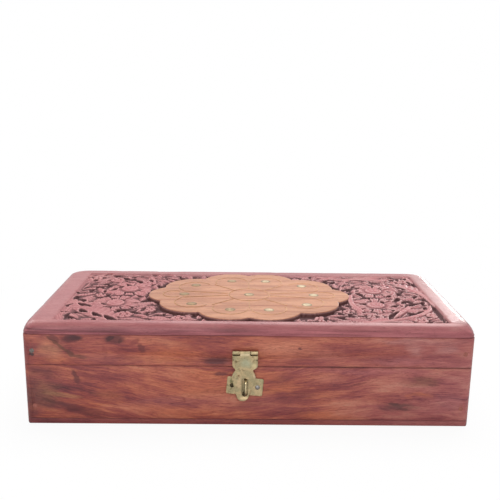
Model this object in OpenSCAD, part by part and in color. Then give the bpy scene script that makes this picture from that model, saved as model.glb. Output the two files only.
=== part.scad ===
// Hinged wooden box with a carved lid, an inlaid medallion and a brass hasp.
// Millimetres. +X is right, +Y is the back, +Z is up.
// The origin is the middle of the wooden box's bottom face.

/* [Box] */
// Width of the box, left to right
box_w = 250; // [235:1:300]
// Depth of the box, front to back
box_d = 114.5; // [112:0.5:140]
// Height of the closed box
box_h = 60.5; // [56:0.5:90]
// Height of the seam between base and lid
seam_h = 35.5; // [30:0.5:38]
// Thickness of the side boards and rails
side_t = 8; // [7:0.5:12]
// Thickness of the bottom board
bottom_t = 3.5; // [2.5:0.5:6]
// Thickness of the lid's carved top board
top_t = 7.2; // [5.5:0.1:9]
// Radius of the upright corners
corner_r = 3; // [1:0.5:4]
// Radius of the top board's upper edges
top_edge_r = 5.4; // [2:0.1:5.4]
// Radius of the bottom board's lower front and back edges
foot_edge_r = 0.8; // [0.4:0.1:2]
// Radius of the bottom board's lower left and right edges
foot_side_r = 1.8; // [0.4:0.1:2.4]

/* [Carved field] */
// Border left of the carved field
border_left = 16; // [12:0.5:20]
// Border right of the carved field
border_right = 13; // [12:0.5:20]
// Border in front of the carved field
border_front = 4.8; // [4:0.1:8]
// Border behind the carved field
border_back = 12.2; // [8:0.1:13]
// Depth of the carved ground below the border
carve_depth = 3; // [1.5:0.1:3.5]
// Depth of the flowers' and leaves' tops below the border
relief_drop = 0.5; // [0.2:0.1:1]
// Width of the carved stems
stem_w = 2.2; // [1.6:0.1:3]
// Radius of the large flowers
flower_r = 15; // [12:0.1:16]
// Petals of a large flower
flower_petals = 12; // [8:1:16]
// Distance from the middle of the lid to the large flowers
flower_x = 78.5; // [76:0.5:84]
// Distance between a side's two large flowers
flower_pitch = 30; // [28:0.5:32]
// Distance by which front flowers lie further left, and back flowers further right
flower_stagger = 2; // [0:0.5:4]
// Radius of the round button in a large flower
button_r = 5; // [3:0.1:6]

/* [Medallion] */
// Distance from the field's middle to the medallion's middle, towards the back
medallion_shift = 1.8; // [0:0.1:3]
// Radius of the left and right lobes
side_lobe_r = 15.4; // [14:0.1:17]
// Distance out to the middle of the left and right lobes
side_lobe_x = 47.1; // [44:0.1:50]
// Radius of the four slanting lobes
slant_lobe_r = 19.4; // [18.5:0.1:21]
// Distance out to the middle of a slanting lobe
slant_lobe_x = 34.5; // [33:0.1:36]
// Distance back to the middle of a slanting lobe
slant_lobe_y = 15.9; // [15:0.1:17]
// Radius of the two front and two back lobes
end_lobe_r = 19.3; // [18.5:0.1:20]
// Distance out to the middle of a front or back lobe
end_lobe_x = 11.3; // [10:0.1:12]
// Distance back to the middle of a front or back lobe
end_lobe_y = 28.3; // [27:0.1:29]

/* [Inlay] */
// Radius of a brass disc
disc_r = 3.4; // [2:0.1:3.8]
// Distance from the middle of a left or right lobe in to its disc
side_disc_in = 6.6; // [4:0.1:10]
// Distance from the middle of a slanting lobe out along Y to its disc
slant_disc_out = 4; // [2:0.1:5]
// Distance from the middle of a front or back lobe out along Y to its disc
end_disc_out = 2.2; // [0:0.1:4]
// Thickness of a brass disc
disc_t = 1; // [0.6:0.1:1.5]
// Height by which discs and lines stand above the wood
inlay_proud = 0.1; // [0.05:0.05:0.3]
// Gap around the brass in its recess
glue_gap = 0.05; // [0.02:0.01:0.1]
// Width of a brass line
line_w = 0.4; // [0.3:0.05:0.8]
// Depth of a brass line's groove
line_depth = 0.8; // [0.5:0.1:1.2]
// Distance from the medallion's edge in to the scalloped line
line_inset = 8.8; // [7:0.1:10]
// Radius of the ring line round the middle disc
ring_line_r = 12.5; // [11:0.1:14]

/* [Hinges] */
// Distance from the middle of the box to the middle of a hinge
hinge_x = 76; // [50:1:90]
// Width of a hinge
hinge_w = 20; // [16:0.5:25]
// Distance from a hinge's pin to the far edge of its leaf
hinge_leaf_d = 6.6; // [5.5:0.1:6.8]
// Thickness of a hinge leaf
hinge_leaf_t = 0.8; // [0.6:0.1:1]
// Outer radius of a hinge knuckle
hinge_knuckle_r = 1.5; // [1.4:0.1:1.8]
// Radius of a hinge pin
hinge_pin_r = 0.8; // [0.6:0.1:0.9]
// Distance from the box's back face in to the hinge axis
hinge_inset = 0.6; // [0.4:0.1:1]
// Angle to which the lid opens
lid_open = 105; // [95:1:110]

/* [Hasp] */
// Distance from the middle of the box to the middle of the hasp
hasp_x = -2.4; // [-6:0.1:6]
// Width of the hasp
hasp_w = 14.1; // [13:0.1:16]
// Height of the hasp's pin above the seam
hasp_rise = 8.5; // [8:0.1:10]
// Thickness of the hasp's sheet brass
hasp_t = 0.6; // [0.4:0.1:0.8]
// Outer radius of the hasp's knuckles
hasp_knuckle_r = 1.1; // [1.1:0.05:1.3]
// Radius of the hasp's pin
hasp_pin_r = 0.5; // [0.35:0.05:0.55]
// Width of the swinging leaf's middle knuckle
hasp_tab_w = 5.6; // [4:0.1:7]
// Length of the swinging leaf's square upper part, from the pin
leaf_upper_l = 9.6; // [8.5:0.1:11]
// Radius of the upper part's lower corners
leaf_upper_r = 3; // [1:0.1:4]
// Width of the swinging leaf's waist
leaf_waist_w = 10.1; // [9:0.1:11]
// Distance from the pin to the middle of the leaf's round lobe
leaf_lobe_l = 14.7; // [14:0.1:16]
// Radius of the leaf's round lobe
leaf_lobe_r = 6.6; // [6:0.1:7]
// Distance from the pin to the middle of the leaf's tip
leaf_tip_l = 25; // [24:0.1:28]
// Radius of the leaf's tip
leaf_tip_r = 3.4; // [3.2:0.1:4]
// Sideways lean of the leaf's tip, to the left
leaf_lean = 1.2; // [0:0.1:1.5]
// Radius of the small nicks in the leaf's sides
nick_r = 0.8; // [0.4:0.1:1]
// Width of the slot that passes over the staple
slot_w = 3.2; // [2.8:0.1:3.6]

/* [Staple] */
// Distance from the seam down to the middle of the staple
staple_drop = 11.6; // [11:0.1:12.5]
// Width of the staple's plate
staple_w = 20.4; // [20:0.1:24]
// Height of the staple's plate
staple_h = 10.4; // [9.8:0.1:12]
// Tilt of the staple, right side down
staple_tilt = 5; // [0:0.5:6]
// Distance from the middle of the plate to a nail
staple_nail_x = 7.1; // [6.9:0.1:8]
// Outer radius of the staple's loop
loop_r = 4.6; // [4:0.1:4.7]
// Thickness of the loop's strip
loop_t = 1.2; // [0.8:0.1:1.4]
// Width of the loop's strip
loop_w = 1.1; // [0.8:0.1:1.2]
// Distance from the plate's face to the middle of the loop's bend
loop_leg = 2.4; // [1.6:0.1:3]

/* [Nails] */
// Shank radius of the nails in the boards
nail_r = 0.7; // [0.5:0.1:1]
// Head radius of the nails in the boards
nail_head_r = 1.3; // [1.1:0.1:1.6]
// Length of the nails through the corners
corner_nail_l = 22; // [16:1:30]
// Length of the nails through the bottom board
bottom_nail_l = 14; // [10:1:20]
// Distance from the box's side in to a corner nail
corner_nail_in = 5; // [4:0.5:5]
// Height of the base's corner nails
base_nail_z = 11; // [9:0.5:14]
// Height of the lid's corner nails above the seam
lid_nail_rise = 8.3; // [6:0.1:10]
// Shank radius of the small nails in the fittings
pin_nail_r = 0.5; // [0.4:0.05:0.6]
// Head radius of the small nails in the fittings
pin_nail_head_r = 1.35; // [1.1:0.05:1.5]
// Length of the small nails in the fittings
pin_nail_l = 6; // [4:0.5:6.5]

/* [Hidden] */
$fn = 48;
EPS = 0.01;
CUT = 1;                 // how far a cutting tool runs past a face
SNUG = 0.05;             // radial gap round a nail, and running gap round a pin
KNUCKLE_GAP = 0.2;       // gap between neighbouring knuckles, and from a leaf to a knuckle
SLOT_CLEAR = 0.7;        // gap from the staple's loop to each end of the slot
BEVEL_SPARE = 2;         // extra opening angle between the two back bevels

front_y = -box_d / 2;
back_y = box_d / 2;
lid_under_z = box_h - top_t;
inner_d = box_d - 2 * side_t;

field_w = box_w - border_left - border_right;
field_d = box_d - border_front - border_back;
field_x = (border_left - border_right) / 2;
field_y = (border_front - border_back) / 2;
medallion_y = field_y + medallion_shift;
field_front_y = front_y + border_front;
field_back_y = back_y - border_back;

hinge_y = back_y - hinge_inset;
bevel_a = (lid_open + BEVEL_SPARE) / 2;
knuckle_w = hinge_w / 3;
hinge_bore_r = hinge_pin_r + SNUG;
hinge_nail_y = hinge_y - (hinge_leaf_d + hinge_knuckle_r) / 2;
hinge_nail_x = knuckle_w;

hasp_z = seam_h + hasp_rise;
hasp_y = front_y - hasp_knuckle_r;
hasp_bore_r = hasp_pin_r + SNUG;
hasp_leaf_top = hasp_knuckle_r + KNUCKLE_GAP * 2;
hasp_plate_l = hasp_rise - KNUCKLE_GAP * 3;
staple_z = seam_h - staple_drop;
slot_mid = hasp_z - staple_z;
slot_l = 2 * (loop_r + SLOT_CLEAR);

WOOD = "#a35a4a";
CARVED = "#b07b78";
BRASS = "#a8956e";
STEEL = "#8a8a8c";

// ---------------------------------------------------------------- outlines

// A rectangle with round corners, centred on the origin.
module round_rect(w, d, r) {
    square([w - 2 * r, d], center = true);
    square([w, d - 2 * r], center = true);
    for (sx = [-1, 1], sy = [-1, 1])
        translate([sx * (w / 2 - r), sy * (d / 2 - r)]) circle(r);
}

// The box's outline from above.
module footprint() {
    round_rect(box_w, box_d, corner_r);
}

// A slab's end view: w wide, h high, with its two upper corners rounded.
module eased_section(w, h, r) {
    translate([-w / 2, 0]) square([w, h - r]);
    translate([-w / 2 + r, 0]) square([w - 2 * r, h]);
    for (s = [-1, 1]) translate([s * (w / 2 - r), h - r]) circle(r);
}

// A slab over the whole footprint with its upper edges rounded, by side_r at the left and right
// and by front_r at the front and back.
module eased_slab(h, side_r, front_r) {
    intersection() {
        linear_extrude(h) footprint();
        translate([0, box_d / 2, 0]) rotate([90, 0, 0])
            linear_extrude(box_d) eased_section(box_w, h, side_r);
        translate([-box_w / 2, 0, 0]) rotate([90, 0, 90])
            linear_extrude(box_w) eased_section(box_d, h, front_r);
    }
}

// The lobes of the medallion as [x, y, r], anticlockwise from the right.
lobes = [
    [side_lobe_x, 0, side_lobe_r],
    [slant_lobe_x, slant_lobe_y, slant_lobe_r],
    [end_lobe_x, end_lobe_y, end_lobe_r],
    [-end_lobe_x, end_lobe_y, end_lobe_r],
    [-slant_lobe_x, slant_lobe_y, slant_lobe_r],
    [-side_lobe_x, 0, side_lobe_r],
    [-slant_lobe_x, -slant_lobe_y, slant_lobe_r],
    [-end_lobe_x, -end_lobe_y, end_lobe_r],
    [end_lobe_x, -end_lobe_y, end_lobe_r],
    [slant_lobe_x, -slant_lobe_y, slant_lobe_r],
];

// The medallion: its lobes, and the polygon through their middles.
module medallion() {
    for (l = lobes) translate([l[0], l[1]]) circle(l[2]);
    polygon([for (l = lobes) [l[0], l[1]]]);
}

// Where two circles [x, y, r] cross, on the side away from the origin.
function crossing(a, b) =
    let (d = [b[0] - a[0], b[1] - a[1]], g = norm(d), u = d / g)
    let (m = (g * g + a[2] * a[2] - b[2] * b[2]) / (2 * g))
    let (h = sqrt(max(0, a[2] * a[2] - m * m)), base = [a[0], a[1]] + u * m)
    let (p = base + h * [u[1], -u[0]], q = base - h * [u[1], -u[0]])
    norm(p) > norm(q) ? p : q;

function bearing(from, to) = atan2(to[1] - from[1], to[0] - from[0]);

// The lobes drawn in by the scalloped line's inset.
line_lobes = [for (l = lobes) [l[0], l[1], l[2] - line_inset]];
line_corners = [for (i = [0 : len(lobes) - 1])
    crossing(line_lobes[i], line_lobes[(i + 1) % len(lobes)])];

// One scallop of the inlaid line, between its two neighbours.
module line_scallop(i, w) {
    l = line_lobes[i];
    a = bearing(l, line_corners[(i + len(lobes) - 1) % len(lobes)]);
    b = bearing(l, line_corners[i]);
    sweep = (b - a + 720) % 360;
    trim = 2 * line_w / l[2] * 180 / PI;
    translate([l[0], l[1], 0]) rotate([0, 0, a + trim])
        rotate_extrude(angle = sweep - 2 * trim) translate([l[2] - w / 2, 0]) square([w, line_depth + CUT]);
}

// One straight line from the ring to a corner of the scalloped line.
module line_spoke(i, w) {
    c = line_corners[i];
    l = norm(c) - ring_line_r - 4 * line_w;
    rotate([0, 0, atan2(c[1], c[0])]) translate([ring_line_r + 2 * line_w, -w / 2, 0])
        cube([l, w, line_depth + CUT]);
}

// All the inlaid lines, standing on z = 0, with the given width.
module line_work(w) {
    for (i = [0 : len(lobes) - 1]) {
        line_scallop(i, w);
        line_spoke(i, w);
    }
    difference() {
        cylinder(r = ring_line_r + w / 2, h = line_depth + CUT);
        translate([0, 0, -CUT]) cylinder(r = ring_line_r - w / 2, h = line_depth + 3 * CUT);
    }
}

// The middles of the inlaid discs, from the middle of the medallion.
disc_spots = concat(
    [[0, 0]],
    [for (sx = [-1, 1]) [sx * (side_lobe_x - side_disc_in), 0]],
    [for (sx = [-1, 1], sy = [-1, 1]) [sx * slant_lobe_x, sy * (slant_lobe_y + slant_disc_out)]],
    [for (sx = [-1, 1], sy = [-1, 1]) [sx * end_lobe_x, sy * (end_lobe_y + end_disc_out)]]
);

// ---------------------------------------------------------------- carving

// A round flower's outline with scalloped petals.
function flower_points(r, petals, deep, steps = 4) =
    [for (i = [0 : petals * steps - 1])
        let (a = 360 * i / (petals * steps))
        let (q = r * (1 - deep * (1 - pow(abs(cos(a * petals / 2)), 0.6))))
        [q * cos(a), q * sin(a)]];

// A pointed leaf's outline from the origin along +X, bent to its left.
function leaf_points(l, w, bend, steps = 4) =
    let (mid = function (t) [l * t, bend * sin(180 * t)])
    let (half = function (t) w / 2 * pow(sin(180 * t), 0.8))
    concat(
        [for (i = [0 : steps]) let (t = i / steps) mid(t) - [0, half(t)]],
        [for (i = [steps - 1 : -1 : 1]) let (t = i / steps) mid(t) + [0, half(t)]]
    );

// A point on a curve through four control points.
function on_curve(p, t) =
    pow(1 - t, 3) * p[0] + 3 * pow(1 - t, 2) * t * p[1] + 3 * (1 - t) * t * t * p[2] + pow(t, 3) * p[3];

function unit(v) = v / norm(v);

// A stem's outline: a band of width w along a curve.
function stem_points(p, w, steps = 10) =
    let (mid = [for (i = [0 : steps]) on_curve(p, i / steps)])
    let (dir = [for (i = [0 : steps]) unit(mid[min(i + 1, steps)] - mid[max(i - 1, 0)])])
    let (side = [for (d = dir) w / 2 * [-d[1], d[0]]])
    concat([for (i = [0 : steps]) mid[i] + side[i]], [for (i = [steps : -1 : 0]) mid[i] - side[i]]);

// Places in one half of the field are [out, back]: out from the middle of the lid, and back from its
// front edge. They are drawn for a field of the size below, and move apart when the field grows.
drawn_field_w = 221;
drawn_field_d = 97.5;
spread = [field_w / drawn_field_w, field_d / drawn_field_d];
function place(p) = [p[0] * spread[0], p[1] * spread[1]];

// Small flowers as [out, back, radius].
small_flowers = [
    [40.5, 11.5, 4], [58.5, 26, 3.6], [72, 17, 5], [97, 11.5, 4.2], [106, 19.5, 3.8],
    [97, 28.5, 3.6], [100.5, 38.5, 3.4], [92.5, 54, 3.4], [65.5, 82.5, 4.4], [88, 88.5, 4.6], [103.5, 92, 4.6],
];
// Leaves as [out, back, direction, length, width, bend].
leaves = [
    [29, 9, 8, 9, 4, 1], [46, 9, -5, 12, 4.5, -1.2], [44, 17, 10, 12, 5, 1.5], [57, 13, 20, 10, 4.5, 1.2],
    [79, 9, -6, 13, 4, -1], [86, 17, 62, 10, 4.6, 1.6], [89, 12.5, 8, 10, 4, -0.8], [95, 24, 12, 13, 4, 1.4],
    [101, 31, 30, 10, 3.8, 1.2], [103, 8, 10, 8, 4, 1], [94, 32, 100, 10, 4.4, -1.4], [104, 42, 128, 11, 4.2, -1.2],
    [107.5, 51, 140, 12, 4, -1.2], [108.5, 59, 150, 13, 4, -1.2], [107, 66, 158, 13, 4.2, -1.4],
    [104, 73, 166, 12, 4.2, -1.4], [107, 68, 96, 15, 4.2, 1.4], [101, 78, 130, 13, 4.2, 1],
    [63, 50, 115, 8, 4.2, 1], [64, 58, 60, 8, 4.4, -1], [61, 34, -60, 9, 4.2, 1], [59, 68, 80, 12, 4.8, -1.4],
    [52, 84, 30, 13, 5, 1.6], [46, 92, 25, 11, 4.6, 1.2], [60, 95, 8, 13, 4.4, 1.4], [75, 97, -12, 12, 4.2, -1.4],
    [76, 87, 30, 11, 4.6, 1.2], [90, 98, -6, 12, 4, 1], [34, 97, -4, 10, 4, 1], [66, 20, 100, 10, 4.4, 1.4],
    [84, 27, 50, 10, 4.4, 1.2], [92, 66, 20, 12, 4.2, 1.4], [90, 78, 40, 12, 4.4, 1.2],
];
// Stems as four control points.
stems = [
    [[62, 6], [88, 8], [101, 26], [109.5, 50]],
    [[109.5, 50], [112, 62], [107, 76], [97, 84]],
    [[84, 11], [94, 16], [101, 20], [111, 23]],
    [[48, 100], [62, 90], [74, 100], [92, 93]],
    [[66, 27], [62, 36], [63, 48], [65, 57]],
];

// The middles of the large flowers.
flower_spots = [for (sx = [-1, 1], sy = [-1, 1])
    [sx * flower_x + sy * flower_stagger, field_y + sy * flower_pitch / 2]];

module large_flowers() {
    for (p = flower_spots) translate(p) polygon(flower_points(flower_r, flower_petals, 0.2));
}

// The small flowers, leaves and stems of one half; side is 1 on the right and -1 on the left.
module half_relief(side) {
    scale([side, 1]) translate([0, front_y]) {
        for (f = small_flowers)
            translate(place(f)) polygon(flower_points(f[2], 6, 0.22));
        for (l = leaves)
            translate(place(l)) rotate(l[2]) polygon(leaf_points(l[3], l[4], l[5]));
        for (s = stems) polygon(stem_points([for (p = s) place(p)], stem_w));
    }
}

module field_outline() {
    translate([field_x, field_y]) square([field_w, field_d], center = true);
}

// The sunk part of the field: everything round the medallion.
module sunk_outline() {
    difference() {
        field_outline();
        translate([0, medallion_y]) medallion();
    }
}

// ---------------------------------------------------------------- nails

// A flat-headed nail with its head's top at z = 0, pointing down.
module nail(r, head_r, l) {
    cone_h = head_r - r;
    translate([0, 0, -cone_h]) cylinder(r1 = r, r2 = head_r, h = cone_h);
    translate([0, 0, -l]) cylinder(r = r, h = l - cone_h + EPS);
}

// The hole that such a nail fills.
module nail_hole(r, head_r, l) {
    cone_h = head_r - r;
    translate([0, 0, -cone_h]) cylinder(r1 = r + SNUG, r2 = head_r + SNUG, h = cone_h + EPS);
    translate([0, 0, -l - SNUG]) cylinder(r = r + SNUG, h = l + SNUG - cone_h + EPS);
    cylinder(r = head_r + SNUG, h = CUT);
}

// A round-headed nail whose head sits on z = 0, pointing down.
module round_nail() {
    head_h = pin_nail_head_r * 0.35;
    ball_r = (pin_nail_head_r * pin_nail_head_r + head_h * head_h) / (2 * head_h);
    intersection() {
        translate([0, 0, head_h - ball_r]) sphere(ball_r, $fn = 96);
        cylinder(r = pin_nail_head_r, h = head_h);
    }
    translate([0, 0, -pin_nail_l]) cylinder(r = pin_nail_r, h = pin_nail_l + EPS);
}

// The hole for a round-headed nail's shank, through a plate and into the wood.
module round_nail_hole() {
    translate([0, 0, -pin_nail_l - SNUG]) cylinder(r = pin_nail_r + SNUG, h = pin_nail_l + SNUG + CUT);
}

// Places its children at the corner nails of one frame, each pointing into the box along Y.
module at_corner_nails(z) {
    for (sx = [-1, 1], sy = [-1, 1])
        translate([sx * (box_w / 2 - corner_nail_in), sy * box_d / 2, z])
            rotate([sy * -90, 0, 0]) children();
}

// Places its children at the nails of the bottom board, pointing up.
module at_bottom_nails() {
    for (sx = [-1, 0, 1], sy = [-1, 1])
        translate([sx * (box_w / 2 - 3 * side_t), sy * (box_d / 2 - side_t / 2), 0])
            rotate([180, 0, 0]) children();
    for (sx = [-1, 1])
        translate([sx * (box_w / 2 - side_t / 2), 0, 0]) rotate([180, 0, 0]) children();
}

// Places its children at one hinge's two nails, on the seam.
module at_hinge_nails() {
    for (s = [-1, 1]) translate([s * hinge_nail_x, hinge_nail_y, seam_h]) children();
}

// Places its children at the hasp plate's nails, pointing into the lid.
module at_hasp_nails() {
    for (s = [-1, 1])
        translate([hasp_x + s * hasp_w / 4, front_y - hasp_t, hasp_z - hasp_plate_l / 2 - hasp_leaf_top / 2])
            rotate([90, 0, 0]) children();
}

// Moves its children from the staple's own frame to the front of the base.
// In the staple's frame X is across, Y is up and Z stands out of the base's front face.
module at_staple() {
    translate([hasp_x, front_y, staple_z]) rotate([0, staple_tilt, 0]) rotate([90, 0, 0]) children();
}

module at_staple_nails() {
    at_staple() for (s = [-1, 1]) translate([s * staple_nail_x, 0, hasp_t]) children();
}

// ---------------------------------------------------------------- base boards

module base_board_blank() {
    translate([0, 0, bottom_t]) linear_extrude(seam_h - bottom_t) footprint();
}

// The room that a hinge's leaf and knuckles take in the board below (side -1) or above (side 1) the seam.
module hinge_room(side) {
    for (s = [-1, 1]) translate([s * hinge_x, 0, seam_h]) {
        translate([-hinge_w / 2 - SNUG, hinge_y - hinge_leaf_d - SNUG, side > 0 ? -CUT : -hinge_leaf_t])
            cube([hinge_w + 2 * SNUG, hinge_leaf_d + CUT, hinge_leaf_t + CUT]);
        translate([-hinge_w / 2 - SNUG, hinge_y, 0]) rotate([0, 90, 0])
            cylinder(r = hinge_knuckle_r + KNUCKLE_GAP, h = hinge_w + 2 * SNUG);
    }
}

// The wedge planed off along the back edge, below (side -1) or above (side 1) the seam.
module back_bevel(side) {
    reach = hinge_inset + CUT;
    drop = reach * tan(bevel_a);
    translate([-box_w / 2 - CUT, hinge_y, seam_h]) rotate([90, 0, 90]) linear_extrude(box_w + 2 * CUT)
        polygon([[0, 0], [reach, side * drop], [reach, 0]]);
}

module base_front_board() {
    color(WOOD) difference() {
        intersection() {
            base_board_blank();
            translate([-box_w / 2, front_y, 0]) cube([box_w, side_t, seam_h]);
        }
        at_corner_nails(base_nail_z) nail_hole(nail_r, nail_head_r, corner_nail_l);
        at_bottom_nails() nail_hole(nail_r, nail_head_r, bottom_nail_l);
        at_staple_nails() round_nail_hole();
    }
}

module base_back_board() {
    color(WOOD) difference() {
        intersection() {
            base_board_blank();
            translate([-box_w / 2, back_y - side_t, 0]) cube([box_w, side_t, seam_h]);
        }
        at_corner_nails(base_nail_z) nail_hole(nail_r, nail_head_r, corner_nail_l);
        at_bottom_nails() nail_hole(nail_r, nail_head_r, bottom_nail_l);
        hinge_room(-1);
        back_bevel(-1);
        for (s = [-1, 1]) translate([s * hinge_x, 0, 0])
            at_hinge_nails() nail_hole(pin_nail_r, pin_nail_head_r, pin_nail_l);
    }
}

module base_end(side) {
    color(WOOD) difference() {
        translate([side > 0 ? box_w / 2 - side_t : -box_w / 2, -inner_d / 2, bottom_t])
            cube([side_t, inner_d, seam_h - bottom_t]);
        at_corner_nails(base_nail_z) nail_hole(nail_r, nail_head_r, corner_nail_l);
        at_bottom_nails() nail_hole(nail_r, nail_head_r, bottom_nail_l);
    }
}

module base_left_end() { base_end(-1); }
module base_right_end() { base_end(1); }

module base_bottom_board() {
    color(WOOD) difference() {
        translate([0, 0, bottom_t]) mirror([0, 0, 1]) eased_slab(bottom_t, foot_side_r, foot_edge_r);
        at_bottom_nails() nail_hole(nail_r, nail_head_r, bottom_nail_l);
    }
}

module base_corner_nails() {
    color(STEEL) at_corner_nails(base_nail_z) nail(nail_r, nail_head_r, corner_nail_l);
}

module base_bottom_nails() {
    color(STEEL) at_bottom_nails() nail(nail_r, nail_head_r, bottom_nail_l);
}

// ---------------------------------------------------------------- hinges

// A hinge leaf with its knuckles, its pin along X through the origin.
// The lower leaf (side -1) holds the two outer knuckles and the upper leaf (side 1) the middle one.
module hinge_leaf(side) {
    lower = side < 0;
    plate_z = lower ? -hinge_leaf_t : 0;
    stop = hinge_knuckle_r + KNUCKLE_GAP;
    difference() {
        union() {
            translate([-hinge_w / 2, -hinge_leaf_d, plate_z]) cube([hinge_w, hinge_leaf_d - stop, hinge_leaf_t]);
            for (k = lower ? [-1, 1] : [0]) {
                w = lower ? knuckle_w : knuckle_w - 2 * KNUCKLE_GAP;
                translate([k * knuckle_w - w / 2, -stop - EPS, plate_z]) cube([w, stop + EPS, hinge_leaf_t]);
                translate([k * knuckle_w - w / 2, 0, 0]) rotate([0, 90, 0]) cylinder(r = hinge_knuckle_r, h = w);
            }
        }
        translate([-hinge_w / 2 - CUT, 0, 0]) rotate([0, 90, 0])
            cylinder(r = hinge_bore_r, h = hinge_w + 2 * CUT);
        translate([0, -hinge_y, -seam_h]) at_hinge_nails()
            mirror([0, 0, lower ? 0 : 1]) nail_hole(pin_nail_r, pin_nail_head_r, pin_nail_l);
    }
}

module hinge_leaf_at(x, side) {
    color(BRASS) translate([x, hinge_y, seam_h]) hinge_leaf(side);
}

module hinge_pin_at(x) {
    color(STEEL) translate([x - hinge_w / 2, hinge_y, seam_h]) rotate([0, 90, 0])
        cylinder(r = hinge_pin_r, h = hinge_w);
}

module hinge_left_base_leaf() { hinge_leaf_at(-hinge_x, -1); }
module hinge_right_base_leaf() { hinge_leaf_at(hinge_x, -1); }
module hinge_left_lid_leaf() { hinge_leaf_at(-hinge_x, 1); }
module hinge_right_lid_leaf() { hinge_leaf_at(hinge_x, 1); }
module hinge_left_pin() { hinge_pin_at(-hinge_x); }
module hinge_right_pin() { hinge_pin_at(hinge_x); }

module base_hinge_nails() {
    color(STEEL) for (s = [-1, 1]) translate([s * hinge_x, 0, 0])
        at_hinge_nails() nail(pin_nail_r, pin_nail_head_r, pin_nail_l);
}

module lid_hinge_nails() {
    color(STEEL) for (s = [-1, 1]) translate([s * hinge_x, 0, 0])
        at_hinge_nails() mirror([0, 0, 1]) nail(pin_nail_r, pin_nail_head_r, pin_nail_l);
}

// ---------------------------------------------------------------- lid

module lid_rail_blank() {
    translate([0, 0, seam_h]) linear_extrude(lid_under_z - seam_h) footprint();
}

module lid_front_rail() {
    color(WOOD) difference() {
        intersection() {
            lid_rail_blank();
            translate([-box_w / 2, front_y, seam_h]) cube([box_w, side_t, lid_under_z - seam_h]);
        }
        at_corner_nails(seam_h + lid_nail_rise) nail_hole(nail_r, nail_head_r, corner_nail_l);
        at_hasp_nails() round_nail_hole();
    }
}

module lid_back_rail() {
    color(WOOD) difference() {
        intersection() {
            lid_rail_blank();
            translate([-box_w / 2, back_y - side_t, seam_h]) cube([box_w, side_t, lid_under_z - seam_h]);
        }
        at_corner_nails(seam_h + lid_nail_rise) nail_hole(nail_r, nail_head_r, corner_nail_l);
        hinge_room(1);
        back_bevel(1);
        for (s = [-1, 1]) translate([s * hinge_x, 0, 0])
            at_hinge_nails() mirror([0, 0, 1]) nail_hole(pin_nail_r, pin_nail_head_r, pin_nail_l);
    }
}

module lid_side_rail(side) {
    color(WOOD) difference() {
        translate([side > 0 ? box_w / 2 - side_t : -box_w / 2, -inner_d / 2, seam_h])
            cube([side_t, inner_d, lid_under_z - seam_h]);
        at_corner_nails(seam_h + lid_nail_rise) nail_hole(nail_r, nail_head_r, corner_nail_l);
    }
}

module lid_left_rail() { lid_side_rail(-1); }
module lid_right_rail() { lid_side_rail(1); }

module lid_corner_nails() {
    color(STEEL) at_corner_nails(seam_h + lid_nail_rise) nail(nail_r, nail_head_r, corner_nail_l);
}

module lid_top_board() {
    color(CARVED) {
        difference() {
            translate([0, 0, lid_under_z]) eased_slab(top_t, top_edge_r, top_edge_r);
            translate([0, 0, box_h - relief_drop]) linear_extrude(relief_drop + CUT) sunk_outline();
            translate([0, 0, box_h - carve_depth]) linear_extrude(carve_depth + CUT) difference() {
                sunk_outline();
                large_flowers();
                half_relief(1);
                half_relief(-1);
            }
            translate([0, medallion_y, box_h]) {
                for (p = disc_spots) translate([p[0], p[1], inlay_proud - disc_t])
                    cylinder(r = disc_r + glue_gap, h = disc_t + CUT);
                translate([0, 0, -line_depth]) line_work(line_w + 2 * glue_gap);
            }
        }
        for (p = flower_spots)
            translate([p[0], p[1], box_h - relief_drop - EPS]) cylinder(r = button_r, h = relief_drop * 0.7 + EPS);
    }
}

module inlay_discs() {
    color(BRASS) translate([0, medallion_y, box_h + inlay_proud - disc_t])
        for (p = disc_spots) translate([p[0], p[1], 0]) cylinder(r = disc_r, h = disc_t);
}

module inlay_lines() {
    color(BRASS) translate([0, medallion_y, box_h - line_depth]) intersection() {
        line_work(line_w);
        translate([-box_w / 2, -box_d / 2, 0]) cube([box_w, box_d, line_depth + inlay_proud]);
    }
}

// ---------------------------------------------------------------- hasp

// The hasp's frame: the pin runs along X through the origin, Y is down the leaf,
// and Z stands out of the lid's front face.
module at_hasp() {
    translate([hasp_x, hasp_y, hasp_z]) rotate([90, 0, 0]) mirror([0, 1, 0]) children();
}

module hasp_knuckle(x, w) {
    translate([x, 0, 0]) rotate([0, 90, 0]) cylinder(r = hasp_knuckle_r, h = w);
}

module hasp_bore() {
    translate([-hasp_w / 2 - CUT, 0, 0]) rotate([0, 90, 0]) cylinder(r = hasp_bore_r, h = hasp_w + 2 * CUT);
}

// The plate that is nailed to the lid, with the two outer knuckles.
module hasp_plate() {
    outer_w = (hasp_w - hasp_tab_w) / 2 - KNUCKLE_GAP;
    color(BRASS) difference() {
        at_hasp() difference() {
            union() {
                translate([-hasp_w / 2, hasp_leaf_top, -hasp_knuckle_r])
                    cube([hasp_w, hasp_plate_l - hasp_leaf_top, hasp_t]);
                for (x = [-hasp_w / 2, hasp_w / 2 - outer_w]) {
                    hasp_knuckle(x, outer_w);
                    translate([x, 0, -hasp_knuckle_r]) cube([outer_w, hasp_leaf_top + EPS, hasp_t]);
                }
            }
            hasp_bore();
        }
        at_hasp_nails() round_nail_hole();
    }
}

module hasp_pin() {
    color(BRASS) at_hasp() translate([-hasp_w / 2, 0, 0]) rotate([0, 90, 0])
        cylinder(r = hasp_pin_r, h = hasp_w);
}

module hasp_nails() {
    color(STEEL) at_hasp_nails() round_nail();
}

// How far the leaf's middle line has moved to the left at a distance from the pin.
function lean(l) = -leaf_lean * l / leaf_tip_l;

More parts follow.
